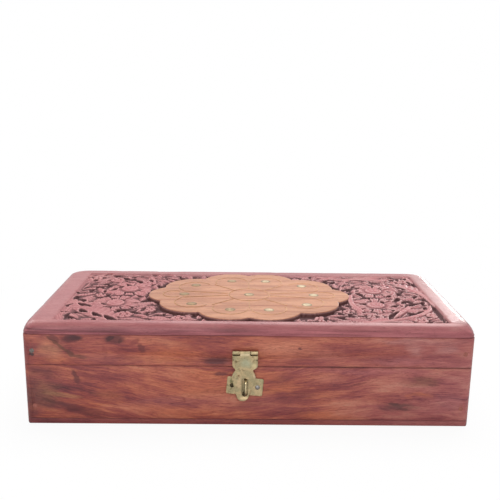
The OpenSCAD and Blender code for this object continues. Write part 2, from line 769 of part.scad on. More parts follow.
// The swinging leaf from the front, with Y down from the pin.
module leaf_outline() {
    taper = asin((leaf_lobe_r - leaf_tip_r) / (leaf_tip_l - leaf_lobe_l));
    upper_l = leaf_upper_l - leaf_upper_r;
    difference() {
        union() {
            translate([-hasp_w / 2, hasp_leaf_top]) square([hasp_w, upper_l - hasp_leaf_top]);
            for (s = [-1, 1]) translate([s * (hasp_w / 2 - leaf_upper_r), upper_l]) circle(leaf_upper_r);
            translate([-hasp_w / 2 + leaf_upper_r, upper_l]) square([hasp_w - 2 * leaf_upper_r, leaf_upper_r]);
            translate([lean(leaf_upper_l) - leaf_waist_w / 2, upper_l])
                square([leaf_waist_w, leaf_lobe_l - upper_l]);
            translate([lean(leaf_lobe_l), leaf_lobe_l]) circle(leaf_lobe_r);
            translate([lean(leaf_tip_l), leaf_tip_l]) circle(leaf_tip_r);
            polygon([for (e = [[-1, leaf_lobe_l, leaf_lobe_r], [1, leaf_lobe_l, leaf_lobe_r],
                               [1, leaf_tip_l, leaf_tip_r], [-1, leaf_tip_l, leaf_tip_r]])
                [lean(e[1]) + e[0] * e[2] * cos(taper), e[1] + e[2] * sin(taper)]]);
        }
        for (s = [-1, 1]) translate([s * hasp_w / 2, hasp_leaf_top + 3 * nick_r]) circle(nick_r);
        slot_outline();
    }
}

// The slot that passes over the staple's loop.
module slot_outline() {
    for (s = [-1, 1]) translate([0, slot_mid + s * (slot_l - slot_w) / 2]) circle(slot_w / 2);
    translate([-slot_w / 2, slot_mid - (slot_l - slot_w) / 2]) square([slot_w, slot_l - slot_w]);
}

module hasp_leaf() {
    color(BRASS) at_hasp() difference() {
        union() {
            translate([0, 0, hasp_knuckle_r - hasp_t]) linear_extrude(hasp_t) leaf_outline();
            hasp_knuckle(-hasp_tab_w / 2, hasp_tab_w);
            translate([-hasp_tab_w / 2, 0, hasp_knuckle_r - hasp_t])
                cube([hasp_tab_w, hasp_leaf_top + EPS, hasp_t]);
        }
        hasp_bore();
    }
}

// ---------------------------------------------------------------- staple

// The loop's two legs as they pass through the plate, grown by a gap.
module loop_legs(gap) {
    for (s = [-1, 1])
        translate([-loop_w / 2 - gap, s * (loop_r - loop_t / 2) - loop_t / 2 - gap, 0])
            cube([loop_w + 2 * gap, loop_t + 2 * gap, hasp_t + loop_leg]);
}

module staple_plate() {
    color(BRASS) difference() {
        at_staple() difference() {
            linear_extrude(hasp_t) round_rect(staple_w, staple_h, 1);
            translate([0, 0, -CUT]) scale([1, 1, 2]) loop_legs(SNUG);
        }
        at_staple_nails() round_nail_hole();
    }
}

module staple_loop() {
    color(BRASS) at_staple() {
        loop_legs(0);
        translate([-loop_w / 2, 0, hasp_t + loop_leg - EPS]) rotate([0, 90, 0]) rotate([0, 0, 90])
            rotate_extrude(angle = 180) translate([loop_r - loop_t, 0]) square([loop_t, loop_w]);
    }
}

module staple_nails() {
    color(STEEL) at_staple_nails() round_nail();
}

// ---------------------------------------------------------------- all pieces

base_front_board();
base_back_board();
base_left_end();
base_right_end();
base_bottom_board();
base_corner_nails();
base_bottom_nails();
hinge_left_base_leaf();
hinge_right_base_leaf();
hinge_left_pin();
hinge_right_pin();
base_hinge_nails();
staple_plate();
staple_loop();
staple_nails();
lid_top_board();
lid_front_rail();
lid_back_rail();
lid_left_rail();
lid_right_rail();
lid_corner_nails();
inlay_discs();
inlay_lines();
hinge_left_lid_leaf();
hinge_right_lid_leaf();
lid_hinge_nails();
hasp_plate();
hasp_pin();
hasp_nails();
hasp_leaf();
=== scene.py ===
import math

import bmesh
import bpy
import numpy as np
from mathutils import Matrix, Vector


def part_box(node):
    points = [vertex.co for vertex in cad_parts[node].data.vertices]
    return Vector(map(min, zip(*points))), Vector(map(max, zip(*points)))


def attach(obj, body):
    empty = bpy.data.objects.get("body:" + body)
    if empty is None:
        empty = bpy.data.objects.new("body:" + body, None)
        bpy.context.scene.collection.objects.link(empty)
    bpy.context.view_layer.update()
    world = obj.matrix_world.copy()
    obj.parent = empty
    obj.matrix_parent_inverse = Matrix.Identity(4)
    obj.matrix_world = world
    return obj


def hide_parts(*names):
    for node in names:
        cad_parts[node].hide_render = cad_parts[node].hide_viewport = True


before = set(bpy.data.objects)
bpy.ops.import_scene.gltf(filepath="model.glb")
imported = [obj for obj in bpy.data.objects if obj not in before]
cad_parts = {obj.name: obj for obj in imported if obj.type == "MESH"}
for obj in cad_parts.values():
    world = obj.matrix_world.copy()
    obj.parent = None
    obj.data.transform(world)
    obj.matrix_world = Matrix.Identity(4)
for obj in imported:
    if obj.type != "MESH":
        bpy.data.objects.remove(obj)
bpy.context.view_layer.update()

MM = 0.001

# ------------ sizes, in millimetres

TOP_LO, TOP_HI = [np.array(c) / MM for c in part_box("lid_top_board")]
DISC_LO, DISC_HI = [np.array(c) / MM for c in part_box("inlay_discs")]
BASE_LO, BASE_HI = [np.array(c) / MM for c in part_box("base_front_board")]

TOP_Z = TOP_HI[2]
TOP_UNDER = TOP_LO[2]
HALF_W = (TOP_HI[0] - TOP_LO[0]) / 2
HALF_D = (TOP_HI[1] - TOP_LO[1]) / 2
FRONT = -HALF_D
SEAM_Z = BASE_HI[2]
BOTTOM_T = BASE_LO[2]

EDGE_R = 5.9            # radius of the top board's upper edges
TOP_CORNER_R = 8.5      # radius of the board's corners from above, at its upper face
FOOT_CORNER_R = 4.0     # and where its rounding meets the upright faces
ROUNDING_STEPS = 7      # grid steps over the rounding
# Width of the plain border round the carved field.
BORDER_LEFT, BORDER_RIGHT, BORDER_FRONT, BORDER_BACK = 16.0, 13.0, 4.8, 12.2
FIELD_LO = np.array([-HALF_W + BORDER_LEFT, -HALF_D + BORDER_FRONT])
FIELD_HI = np.array([HALF_W - BORDER_RIGHT, HALF_D - BORDER_BACK])
FIELD_MID = (FIELD_LO[1] + FIELD_HI[1]) / 2
GROUND = -3.0           # carved ground below the border
WALL = 0.34             # sideways run of a cut wall
GRID_STEP = 0.37        # spacing of the carved grid
BORDER_STEP = 1.2       # and of the grid on the plain border
# The top board's lower edge, as [height over its underside, how far it is drawn in].
UNDER_EDGE = [(0.35, 0.0), (0.08, 0.1), (0.0, 0.4)]
FAR = 1000.0            # further than any place on the box
MEDALLION = np.array([(DISC_LO[0] + DISC_HI[0]) / 2, (DISC_LO[1] + DISC_HI[1]) / 2])

MOAT = 1.1              # width of the bare ground round the medallion
# The medallion's lobes in one quarter, as [out, back, radius].
LOBES = [(47.1, 0.0, 15.4), (34.5, 15.9, 19.4), (11.3, 28.3, 19.3)]
# How far the discs in them lie in from the side lobes' middles, and back from the others'.
SIDE_DISC_IN, SLANT_DISC_OUT, END_DISC_OUT = 6.6, 4.0, 2.2
# The large flowers, a pair at each end.
FLOWER_X = 78.5         # from the middle of the lid
FLOWER_PITCH = 30.0     # from one flower of a pair to the other
FLOWER_STAGGER = 2.0    # how far the front one is set to the left and the back one to the right
FLOWER_R = 15.0
FLOWER_PETALS = 12

# Small flowers as [out, back, radius], from the middle of the lid and from the front edge.
SMALL_FLOWERS = [
    (40.5, 11.5, 4.0), (58.5, 26, 3.6), (72, 17, 5.0), (97, 11.5, 4.2), (106, 19.5, 3.8), (97, 28.5, 3.6),
    (100.5, 38.5, 3.4), (92.5, 54, 3.4), (65.5, 82.5, 4.4), (88, 88.5, 4.6), (103.5, 92, 4.6),
]
# Leaves as [out, back, direction in degrees, length, width, bend].
LEAVES = [
    (29, 9, 8, 9, 4, 1), (46, 9, -5, 12, 4.5, -1.2), (44, 17, 10, 12, 5, 1.5), (57, 13, 20, 10, 4.5, 1.2),
    (79, 9, -6, 13, 4, -1), (86, 17, 62, 10, 4.6, 1.6), (89, 12.5, 8, 10, 4, -0.8),
    (95, 24, 12, 13, 4, 1.4), (101, 31, 30, 10, 3.8, 1.2), (103, 8, 10, 8, 4, 1),
    (94, 32, 100, 10, 4.4, -1.4), (104, 42, 128, 11, 4.2, -1.2), (107.5, 51, 140, 12, 4, -1.2),
    (108.5, 59, 150, 13, 4, -1.2), (107, 66, 158, 13, 4.2, -1.4), (104, 73, 166, 12, 4.2, -1.4),
    (107, 68, 96, 15, 4.2, 1.4), (101, 78, 130, 13, 4.2, 1), (63, 50, 115, 8, 4.2, 1),
    (64, 58, 60, 8, 4.4, -1), (61, 34, -60, 9, 4.2, 1), (59, 68, 80, 12, 4.8, -1.4),
    (52, 84, 30, 13, 5, 1.6), (46, 92, 25, 11, 4.6, 1.2), (60, 95, 8, 13, 4.4, 1.4),
    (75, 97, -12, 12, 4.2, -1.4), (76, 87, 30, 11, 4.6, 1.2), (90, 98, -6, 12, 4, 1),
    (34, 97, -4, 10, 4, 1), (66, 20, 100, 10, 4.4, 1.4), (84, 27, 50, 10, 4.4, 1.2),
    (92, 66, 20, 12, 4.2, 1.4), (90, 78, 40, 12, 4.4, 1.2),
]
# Stems as four control points, [out, back], on the right side alone.
STEMS = [
    ((64, 6), (88, 11), (106, 19), (112, 42)),
    ((112, 42), (113, 58), (108, 72), (97, 84)),
    ((70, 10), (84, 12), (90, 27), (103, 45)),
    ((48, 100), (62, 90), (74, 100), (92, 93)),
    ((66, 27), (61, 36), (62, 48), (64, 57)),
]
STEM_WIDTH = 2.8
# Broad leaves with slits cut through them, one side of the lid at a time, as [x, back, direction,
# length, width, bend].
BROAD_LEAVES = [(-113, 46, -47, 58, 17, 2), (90, 90, -50, 38, 13, 2)]
SLITS = [
    (-105.4, 46.6, -45, 9.6, 4.2, 0.6), (-102.8, 38.2, -36, 12.4, 4.6, -0.8),
    (-99.1, 27.2, -53, 9.9, 3.9, -0.6), (-90.6, 21.6, -51, 12.4, 3.7, -0.9),
    (-82.8, 16.4, -48, 15.5, 4.3, -1.0), (-104, 15, -40, 10, 2.4, -0.5), (-94.2, 100.7, -13, 13, 3.0, 0.3),
    (-109, 30, 60, 8, 2.4, 0.3), (-112, 21, 0, 8, 2.2, 0), (95.3, 80.6, -54, 13.3, 3.2, 0.6),
    (99.7, 68, -40, 10.6, 2.8, 0.6), (89.5, 87.5, -34, 11, 2.6, 0.4), (88.5, 28, -118, 20, 3.6, -1.2),
    (110.6, 42, -92, 36, 3.4, 0), (104, 44, -130, 12, 4.4, -1.5),
]
CLEAR_OF_SLITS = 9.0    # how far flowers and leaves stay from the slits' starts
# The cut that sets off a large flower's button in front, as [left, front, direction, length, width, bend].
BUTTON_CUT = (6.4, 5.6, 0, 12.8, 3.6, -0.6)
# Leaves that fill the rest, as [tries, length, width].
FILLING = [(900, 17, 7.4), (1300, 12.5, 5.8), (1500, 8.5, 4.4), (1200, 5.6, 3.2)]
OVERLAP = 0.36          # how much of its width a filling leaf may lie over its neighbours
GROOVE = 1.6            # depth of the narrow grooves between leaves
# Short cuts to the ground between them, as [tries, length, width].
CUTS = [(90, 9.0, 3.2), (300, 6.5, 2.6), (400, 4.5, 2.2)]
CUT_SPACING = 6.0       # from one cut to the next
VEIN_PITCH = 1.9        # from one vein of a leaf to the next


# ------------ mesh helpers

def add_piece(name, mesh, body, nodes):
    """Puts a mesh into the scene as a piece that rides on a body and stands for some of the frame's nodes."""
    piece = bpy.data.objects.new(name, mesh)
    bpy.context.scene.collection.objects.link(piece)
    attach(piece, body)
    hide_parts(*nodes)
    return piece


def drawn_mesh(name, verts, faces):
    """A smooth mesh from vertices in millimetres."""
    mesh = bpy.data.meshes.new(name)
    mesh.from_pydata([tuple(v) for v in np.asarray(verts) * MM], [], faces)
    mesh.update()
    mesh.shade_smooth()
    return mesh


def store(mesh, name, values):
    """Keeps one number for each vertex, which a material reads by its name."""
    mesh.attributes.new(name, "FLOAT", "POINT").data.foreach_set("value", np.asarray(values, np.float32))


def blurred(grid, rounds):
    """The grid with each inner point drawn toward its four neighbours."""
    grid = grid.copy()
    for _ in range(rounds):
        grid[1:-1, 1:-1] = (grid[1:-1, 1:-1] * 2 + grid[:-2, 1:-1] + grid[2:, 1:-1] + grid[1:-1, :-2]
                            + grid[1:-1, 2:]) / 6
    return grid


def lattice_noise(x, y, cell, seed):
    """Smooth noise between -1 and 1, with features about one cell across."""
    rng = np.random.default_rng(seed)
    u = (x - x.min()) / cell
    v = (y - y.min()) / cell
    table = rng.uniform(-1, 1, (int(u.max()) + 3, int(v.max()) + 3))
    i, j = u.astype(int), v.astype(int)
    fu, fv = u - i, v - j
    fu, fv = fu * fu * (3 - 2 * fu), fv * fv * (3 - 2 * fv)
    low = table[i, j] * (1 - fu) + table[i + 1, j] * fu
    high = table[i, j + 1] * (1 - fu) + table[i + 1, j + 1] * fu
    return low * (1 - fv) + high * fv


def smooth_step(x, low, high):
    t = np.clip((x - low) / (high - low), 0, 1)
    return t * t * (3 - 2 * t)


# ------------ the carved top

def medallion_distance(x, y):
    """Distance outside the medallion's scalloped edge, negative inside."""
    dx, dy = np.abs(x - MEDALLION[0]), np.abs(y - MEDALLION[1])
    out = np.full(dx.shape, FAR)
    for cx, cy, r in LOBES:
        out = np.minimum(out, np.hypot(dx - cx, dy - cy) - r)
    core = (dx / LOBES[0][0]) ** 1.6 + (dy / LOBES[2][1]) ** 1.6 < 1
    return np.where(core & (out > -1), -1.0, out)


def distance_inside_field(x, y):
    """Distance inside the carved field's straight edges, negative outside."""
    return np.minimum.reduce([x - FIELD_LO[0], FIELD_HI[0] - x, y - FIELD_LO[1], FIELD_HI[1] - y])


def heading(angle):
    return np.array([math.cos(angle), math.sin(angle)])


def nearest(places, at):
    """The distance from a place to the nearest of some others."""
    return np.hypot(*(np.array(places) - at).T).min()


def shape_about(at, angle, length, width, bend):
    """A leaf's shape, which is its start, direction, length, width and bend, from its middle."""
    return at - 0.5 * length * heading(angle), angle, length, width, bend


def shape_from(x, back, degrees, length, width, bend):
    """A leaf's shape from a row of numbers, with its start measured from the front edge."""
    return np.array([x, FRONT + back]), math.radians(degrees), length, width, bend


class Carving:
    """Heights below the border, in millimetres, on a grid of x and y.

    taken is where a leaf would cover another form, whole is what no cut may go through, and tone is
    how light each form is, from 0 to 1.
    """

    def __init__(self, xs, ys):
        self.xs, self.ys = xs, ys
        self.x, self.y = np.meshgrid(xs, ys, indexing="ij")
        self.z = np.full(self.x.shape, GROUND)
        self.tone = np.zeros(self.x.shape)
        inside = distance_inside_field(self.x, self.y)
        self.moat = medallion_distance(self.x, self.y) < MOAT
        self.taken = self.moat | (inside < 0.1)
        self.whole = self.moat | (inside < -0.5)
        self.rng = np.random.default_rng(7)

    def window(self, cx, cy, reach):
        i0, i1 = np.searchsorted(self.xs, (cx - reach, cx + reach))
        j0, j1 = np.searchsorted(self.ys, (cy - reach, cy + reach))
        return slice(i0, i1), slice(j0, j1)

    def round_window(self, cx, cy, radius):
        """The window round a flower, with the distance and direction of its points from the middle."""
        win = self.window(cx, cy, radius + 1)
        dx, dy = self.x[win] - cx, self.y[win] - cy
        return win, np.hypot(dx, dy), np.arctan2(dy, dx)

    def raise_to(self, win, top, outside, tone):
        """Lifts the grid to the height top where outside is below 0, with a steep wall beyond."""
        falling = top - (top - GROUND) * smooth_step(outside, 0, WALL)
        higher = (falling > self.z[win]) & (outside < WALL)
        self.z[win] = np.where(higher, falling, self.z[win])
        self.tone[win] = np.where(higher & (outside < 0), tone, self.tone[win])
        self.taken[win] |= outside < 0

    def cut_to_ground(self, win, outside):
        """Sinks the grid to the ground where outside is below 0."""
        sunk = GROUND - self.z[win]
        self.z[win] += sunk * smooth_step(-outside, -WALL / 2, WALL / 2)

    def leaf_form(self, base, angle, length, width, bend):
        """The window of a leaf, how far its points lie outside, along, off the rib, and its fullness."""
        win = self.window(*(base + 0.5 * length * heading(angle)), length * 0.5 + 3)
        dx, dy = self.x[win] - base[0], self.y[win] - base[1]
        along = dx * math.cos(angle) + dy * math.sin(angle)
        across = -dx * math.sin(angle) + dy * math.cos(angle)
        bell = np.sin(np.pi * np.clip(along / length, 0, 1))
        half = width / 2 * np.maximum(bell, 1e-6) ** 0.75
        side = across - bend * bell
        outside = np.maximum(np.abs(side) - half, np.maximum(-along, along - length))
        return win, outside, along, side, half, bell

    def leaf(self, shape, top, tone, overlap=None):
        """A leaf with a cut rib, fine veins and one hollow half.

        With an overlap it is carved only where it covers no more than that of its neighbours' edges.
        """
        win, outside, along, side, half, bell = self.leaf_form(*shape)
        width, bend = shape[3:]
        if overlap is not None:
            if np.any((outside < -overlap) & self.taken[win]) or np.any((outside < 0) & self.moat[win]):
                return
        q = np.clip(np.abs(side) / np.maximum(half, 0.2), 0, 1.2)
        tooth = 0.16 * half * np.abs(np.sin(np.pi * along / VEIN_PITCH))
        rib = 0.6 * np.exp(-(side / 0.32) ** 2) * smooth_step(bell, 0.1, 0.5)
        vein = (1 - np.abs(np.sin(np.pi * (along / VEIN_PITCH - q * 0.6)))) ** 1.5
        veins = 0.34 * vein * smooth_step(q, 0.15, 0.5) * min(1, width / 4)
        hollow = 0.5 * np.sin(np.pi * np.clip(q, 0, 1)) * (side * bend >= 0)
        crown = top - 0.85 * q ** 2.5 - rib - veins - hollow - 0.3 * (1 - bell)
        self.raise_to(win, crown, outside + tooth, tone)

    def slit(self, shape):
        self.cut_to_ground(*self.leaf_form(*shape)[:2])

    def broad_leaf(self, shape, top, tone):
        win, outside, along, side, half, _ = self.leaf_form(*shape)
        ridges = 0.4 * np.abs(np.sin(np.pi * (along / 4.6 + np.abs(side) * 0.16))) ** 2
        fine = 0.14 * np.abs(np.sin(np.pi * (along / 1.5 + np.abs(side) * 0.3)))
        self.raise_to(win, top - ridges - fine - 0.3 * (side / np.maximum(half, 1)) ** 2, outside, tone)
        self.whole[win] |= outside < -0.5

    def stem(self, points, width, top, tone):
        """A stem along a curve with four control points."""
        a, b, c, d = np.array(points, float)
        t = np.linspace(0, 1, 40)[:, None]
        line = (1 - t) ** 3 * a + 3 * (1 - t) ** 2 * t * b + 3 * (1 - t) * t * t * c + t ** 3 * d
        centre = line.mean(axis=0)
        win = self.window(*centre, np.abs(line - centre).max() + width)
        gx, gy = self.x[win], self.y[win]
        off = np.full(gx.shape, FAR)
        for a, b in zip(line[:-1], line[1:]):
            ab = b - a
            s = np.clip(((gx - a[0]) * ab[0] + (gy - a[1]) * ab[1]) / (ab @ ab), 0, 1)
            off = np.minimum(off, np.hypot(gx - a[0] - s * ab[0], gy - a[1] - s * ab[1]))
        crown = top - 0.3 * np.clip(off / (width / 2), 0, 1.2) ** 2
        self.raise_to(win, crown, off - width / 2, tone)
        self.whole[win] |= off < width / 2 + 0.3

    def small_flower(self, cx, cy, radius, top, petals, turn, tone):
        win, r, angle = self.round_window(cx, cy, radius)
        q = r / radius
        scallop = np.abs(np.cos((angle + turn) * petals / 2))
        edge = radius * (0.76 + 0.24 * scallop ** 0.6)
        groove = 0.9 * np.exp(-(scallop / 0.26) ** 2) * smooth_step(q, 0.28, 0.5)
        dish = 1.0 * np.exp(-((q - 0.42) / 0.12) ** 2)
        eye = 0.35 * np.exp(-(r / 0.45) ** 2)
        self.raise_to(win, top - groove - dish - 0.3 * q ** 3 - eye, r - edge, tone)

    def large_flower(self, cx, cy, radius, petals, turn, tone):
        """Fluted petals round a domed button with a small eye."""
        win, r, angle = self.round_window(cx, cy, radius)
        q = r / radius
        petal = (angle + turn) * petals / (2 * np.pi)
        scallop = np.abs(np.cos(np.pi * petal))
        edge = radius * (0.8 + 0.2 * scallop ** 0.6)
        groove = 1.4 * np.exp(-(scallop / 0.3) ** 2) * smooth_step(q, 0.42, 0.6)
        flutes = 0.34 * np.abs(np.sin(3 * np.pi * petal)) ** 2 * smooth_step(q, 0.36, 0.5)
        rise = -1.1 + 0.9 * smooth_step(q, 0.34, 0.62) - 0.7 * smooth_step(q, 0.8, 1.02)
        tilt = 0.3 * np.sin(np.round(petal) * 2.4) * smooth_step(q, 0.4, 0.6)
        self.raise_to(win, rise - groove - flutes + tilt - 0.15, r - edge, tone)
        button_r = 0.34 * radius
        p = r / button_r
        eye = 0.9 * np.exp(-(r / 0.7) ** 2)
        ring = 0.4 * np.exp(-((p - 0.66) / 0.1) ** 2)
        self.raise_to(win, -0.08 - 0.35 * p ** 2 - eye - ring, r - button_r, tone + 0.2)
        self.whole[win] |= r < button_r + 0.2

    def sweep(self, at, centres):
        """The direction in which the foliage near a place turns round its nearest flower."""
        near = min(centres, key=lambda c: math.hypot(c[0] - at[0], c[1] - at[1]))
        return math.atan2(at[1] - near[1], at[0] - near[0]) + math.radians(70)

    def fill(self, centres, tries, length, width):
        """Leaves that sweep round the flowers, wherever the ground is still open."""
        for _ in range(tries):
            at = self.rng.uniform(FIELD_LO, FIELD_HI)
            angle = self.sweep(at, centres) + self.rng.uniform(-0.9, 0.9)
            scale = self.rng.uniform(0.85, 1.15)
            top, tone = self.rng.uniform(-0.8, -0.12), self.rng.uniform(0.0, 1.0)
            bend = self.rng.uniform(-1, 1) * width * 0.25
            if not self.taken[np.searchsorted(self.xs, at[0]), np.searchsorted(self.ys, at[1])]:
                shape = shape_about(at, angle, length * scale, width * scale, bend)
                self.leaf(shape, top, tone, OVERLAP * width)

    def soften_grooves(self):
        """Makes the ground shallow in narrow grooves and beside the left and back borders."""
        wide = np.where(self.moat, 1.0, blurred((self.z < GROUND + 0.4).astype(float), 7))
        floor = -GROOVE + (GROUND + GROOVE) * smooth_step(wide, 0.55, 0.9)
        near = np.minimum(self.x - FIELD_LO[0], FIELD_HI[1] - self.y)
        slope = np.where(self.moat, GROUND, -0.4 - 0.5 * near)
        self.z = np.maximum(self.z, np.maximum(floor, slope))

    def cut_between(self, centres, tries, length, width, placed):
        """Short cuts down to the ground, apart from each other and clear of the buttons and stems."""
        for _ in range(tries):
            at = self.rng.uniform(FIELD_LO, FIELD_HI)
            angle = self.sweep(at, centres) + self.rng.uniform(-0.8, 0.8)
            scale, bend = self.rng.uniform(0.8, 1.2), self.rng.uniform(-0.3, 0.3) * width
            if placed and nearest(placed, at) < CUT_SPACING:
                continue
            shape = shape_about(at, angle, length * scale, width * scale, bend)
            win, outside = self.leaf_form(*shape)[:2]
            if not np.any((outside < 0) & self.whole[win]):
                self.cut_to_ground(win, outside)
                placed.append(at)


def carve_end(c, side):
    """The flowers and leaves at the right end, or for side -1 at the left; gives the large ones' middles."""
    rng = c.rng
    centres = []
    for s in (-1, 1):
        at = (side * FLOWER_X + s * FLOWER_STAGGER, FIELD_MID + s * FLOWER_PITCH / 2)
        centres.append(at)
        c.large_flower(*at, FLOWER_R, FLOWER_PETALS, rng.uniform(0, 1), 0.6 + 0.1 * s)
    slits = [(x, FRONT + back) for x, back, *_ in SLITS if x * side > 0]
    for out, back, radius in SMALL_FLOWERS:
        at = np.array([side * out, FRONT + back])
        if nearest(slits, at) > CLEAR_OF_SLITS:
            c.small_flower(*at, radius, rng.uniform(-0.5, -0.2), int(rng.integers(5, 8)), rng.uniform(0, 1),
                           rng.uniform(0.3, 0.9))
    for out, back, degrees, length, width, bend in LEAVES:
        angle = math.radians(degrees + rng.uniform(-5, 5))
        if side < 0:
            angle = math.pi - angle
        at = np.array([side * out, FRONT + back])
        top, tone = rng.uniform(-0.6, -0.15), rng.uniform(0.1, 1.0)
        if nearest(slits, at) > CLEAR_OF_SLITS:
            c.leaf((at, angle, length, width, side * bend), top, tone)
    return centres


def carve_cuts(c, centres):
    """Everything that is cut down to the ground last."""
    placed = []
    for row in SLITS:
        shape = shape_from(*row)
        c.slit(shape)
        placed.append(shape[0] + heading(shape[1]) * shape[2] / 2)
    left, ahead, degrees, length, width, bend = BUTTON_CUT
    for x, y in centres:
        start = np.array([x - left, y - ahead - width / 2])
        c.slit((start, math.radians(degrees), length, width, bend))
        placed.append(np.array([x, start[1]]))
    for tries, length, width in CUTS:
        c.cut_between(centres, tries, length, width, placed)


def carve_field(xs, ys):
    """The carved field's heights and tones on a grid."""
    c = Carving(xs, ys)
    for row in BROAD_LEAVES:
        c.broad_leaf(shape_from(*row), -0.35, 0.55)
    centres = carve_end(c, 1) + carve_end(c, -1)
    for points in STEMS:
        c.stem([(out, FRONT + back) for out, back in points], STEM_WIDTH, c.rng.uniform(-0.3, -0.1), 1.0)
    for tries, length, width in FILLING:
        c.fill(centres, tries, length, width)
    c.soften_grooves()
    carve_cuts(c, centres)
    chips = 0.12 * lattice_noise(c.x, c.y, 1.3, 3) + 0.07 * lattice_noise(c.x, c.y, 0.7, 4)
    c.z += np.where(c.z < GROUND + 0.1, 0.8 * chips, 0.35 * chips)
    return c


def grid_lines(lo, hi, fine_lo, fine_hi):
    """Grid places from lo to hi: rounded edges, coarse borders, and a fine field between."""
    bend = [EDGE_R * math.sin(math.pi / 2 * k / ROUNDING_STEPS) for k in range(ROUNDING_STEPS + 1)]
    outer_lo = [lo + EDGE_R - b for b in reversed(bend)]
    outer_hi = [hi - EDGE_R + b for b in bend]
    inner = list(np.arange(outer_lo[-1] + BORDER_STEP, fine_lo - 0.5, BORDER_STEP))
    inner += [fine_lo - 0.05, fine_lo + WALL]
    count = int(round((fine_hi - fine_lo - 2 * WALL) / GRID_STEP))
    inner += list(np.linspace(fine_lo + WALL, fine_hi - WALL, count)[1:-1])
    inner += [fine_hi - WALL, fine_hi + 0.05]
    inner += list(np.arange(fine_hi + BORDER_STEP, outer_hi[0] - 0.5, BORDER_STEP))
    outer_lo = [v for v in outer_lo if v < inner[0] - 0.1]
    outer_hi = [v for v in outer_hi if v > inner[-1] + 0.1]
    return np.array(outer_lo + inner + outer_hi)


def rounded_shell(x, y):
    """Moves grid points of the outer rounding onto the board's eased edge; gives x, y and the drop."""
    u = np.clip((np.abs(x) - (HALF_W - EDGE_R)) / EDGE_R, 0, 1)
    v = np.clip((np.abs(y) - (HALF_D - EDGE_R)) / EDGE_R, 0, 1)
    mu, mv = np.arcsin(u) * 2 / np.pi, np.arcsin(v) * 2 / np.pi
    m = np.maximum(np.maximum(mu, mv), 1e-9)
    reach = EDGE_R * np.sin(m * np.pi / 2)
    corner = TOP_CORNER_R + (FOOT_CORNER_R - TOP_CORNER_R) * m ** 3
    inner_x = HALF_W - EDGE_R + reach - corner
    inner_y = HALF_D - EDGE_R + reach - corner
    a = np.where(u > 0, HALF_W - EDGE_R + reach * mu / m, np.abs(x)) - inner_x
    b = np.where(v > 0, HALF_D - EDGE_R + reach * mv / m, np.abs(y)) - inner_y
    pull = np.where((a > 0) & (b > 0), np.maximum(a, b) / np.maximum(np.hypot(a, b), 1e-9), 1)
    drop = EDGE_R * (1 - np.cos(m * np.pi / 2))
    return np.sign(x) * (inner_x + a * pull), np.sign(y) * (inner_y + b * pull), drop


def closed_below(surface):
    """Points and faces of a board under a grid of points, eased at its lower edges and flat below."""
    nx, ny, _ = surface.shape
    verts = surface.reshape(-1, 3)
    ids = np.arange(nx * ny).reshape(nx, ny)
    quads = np.stack([ids[:-1, :-1], ids[1:, :-1], ids[1:, 1:], ids[:-1, 1:]], axis=-1)
    faces = quads.reshape(-1, 4).tolist()
    upper = np.concatenate([ids[:, 0], ids[-1, 1:], ids[-2::-1, -1], ids[0, -2:0:-1]])
    rim = verts[upper]
    for rise, pull in UNDER_EDGE:
        loop = rim.copy()
        loop[:, :2] -= np.sign(rim[:, :2]) * pull
        loop[:, 2] = TOP_UNDER + rise
        lower = np.arange(len(rim)) + len(verts)
        verts = np.concatenate([verts, loop])
        faces += np.stack([np.roll(upper, -1), upper, lower, np.roll(lower, -1)], axis=-1).tolist()
        upper = lower
    return verts, faces + [upper[::-1].tolist()]


def top_board():
    """The carved top board as one closed mesh, with the masks that its material reads."""
    xs = grid_lines(-HALF_W, HALF_W, FIELD_LO[0], FIELD_HI[0])
    ys = grid_lines(-HALF_D, HALF_D, FIELD_LO[1], FIELD_HI[1])
    c = carve_field(xs, ys)
    inside = distance_inside_field(c.x, c.y)
    outside = medallion_distance(c.x, c.y)
    sunk = smooth_step(outside, 0, WALL) * smooth_step(inside, 0, WALL * 0.9)
    x, y, drop = rounded_shell(c.x, c.y)
    wobble = 0.05 * lattice_noise(c.x, c.y, 22, 5) * (drop < EDGE_R * 0.9)
    z = np.minimum(TOP_Z - 0.06 - drop + np.where(sunk > 0, c.z * sunk, 0) + wobble, TOP_Z)
    dents = 0.35 * np.maximum(0, lattice_noise(c.x, c.y, 9, 6)) ** 3
    z -= dents * (drop > 0) * (drop < EDGE_R * 0.8)

    verts, faces = closed_below(np.stack([x, y, z], axis=-1))
    mesh = drawn_mesh("carved_top_board", verts, faces)
    mesh.polygons[len(faces) - 1].use_smooth = False
    cavity = np.clip((blurred(z, 5) - z) / 0.5, -1, 1) * (inside > 0.2)
    for name, values, under in [
        ("cut_depth", np.clip(c.z * sunk / GROUND, 0, 1), 0.0), ("cavity", 0.5 + 0.5 * cavity, 0.5),
        ("medallion", 1 - smooth_step(outside, 0.0, 0.25), 0.0),
        ("tone", np.where(sunk > 0.5, c.tone, 0), 0.0),
    ]:
        store(mesh, name, np.append(values.ravel(), np.full(len(verts) - values.size, under)))
    return add_piece("carved_top_board", mesh, "lid", ["lid_top_board"])


carved_top = top_board()


# ------------ shader helper

def rgb(red, green, blue):
    """A colour as a socket takes it, from screen values between 0 and 255."""
    parts = [v / 255 for v in (red, green, blue)]
    return tuple(v / 12.92 if v <= 0.04045 else ((v + 0.055) / 1.055) ** 2.4 for v in parts) + (1.0,)


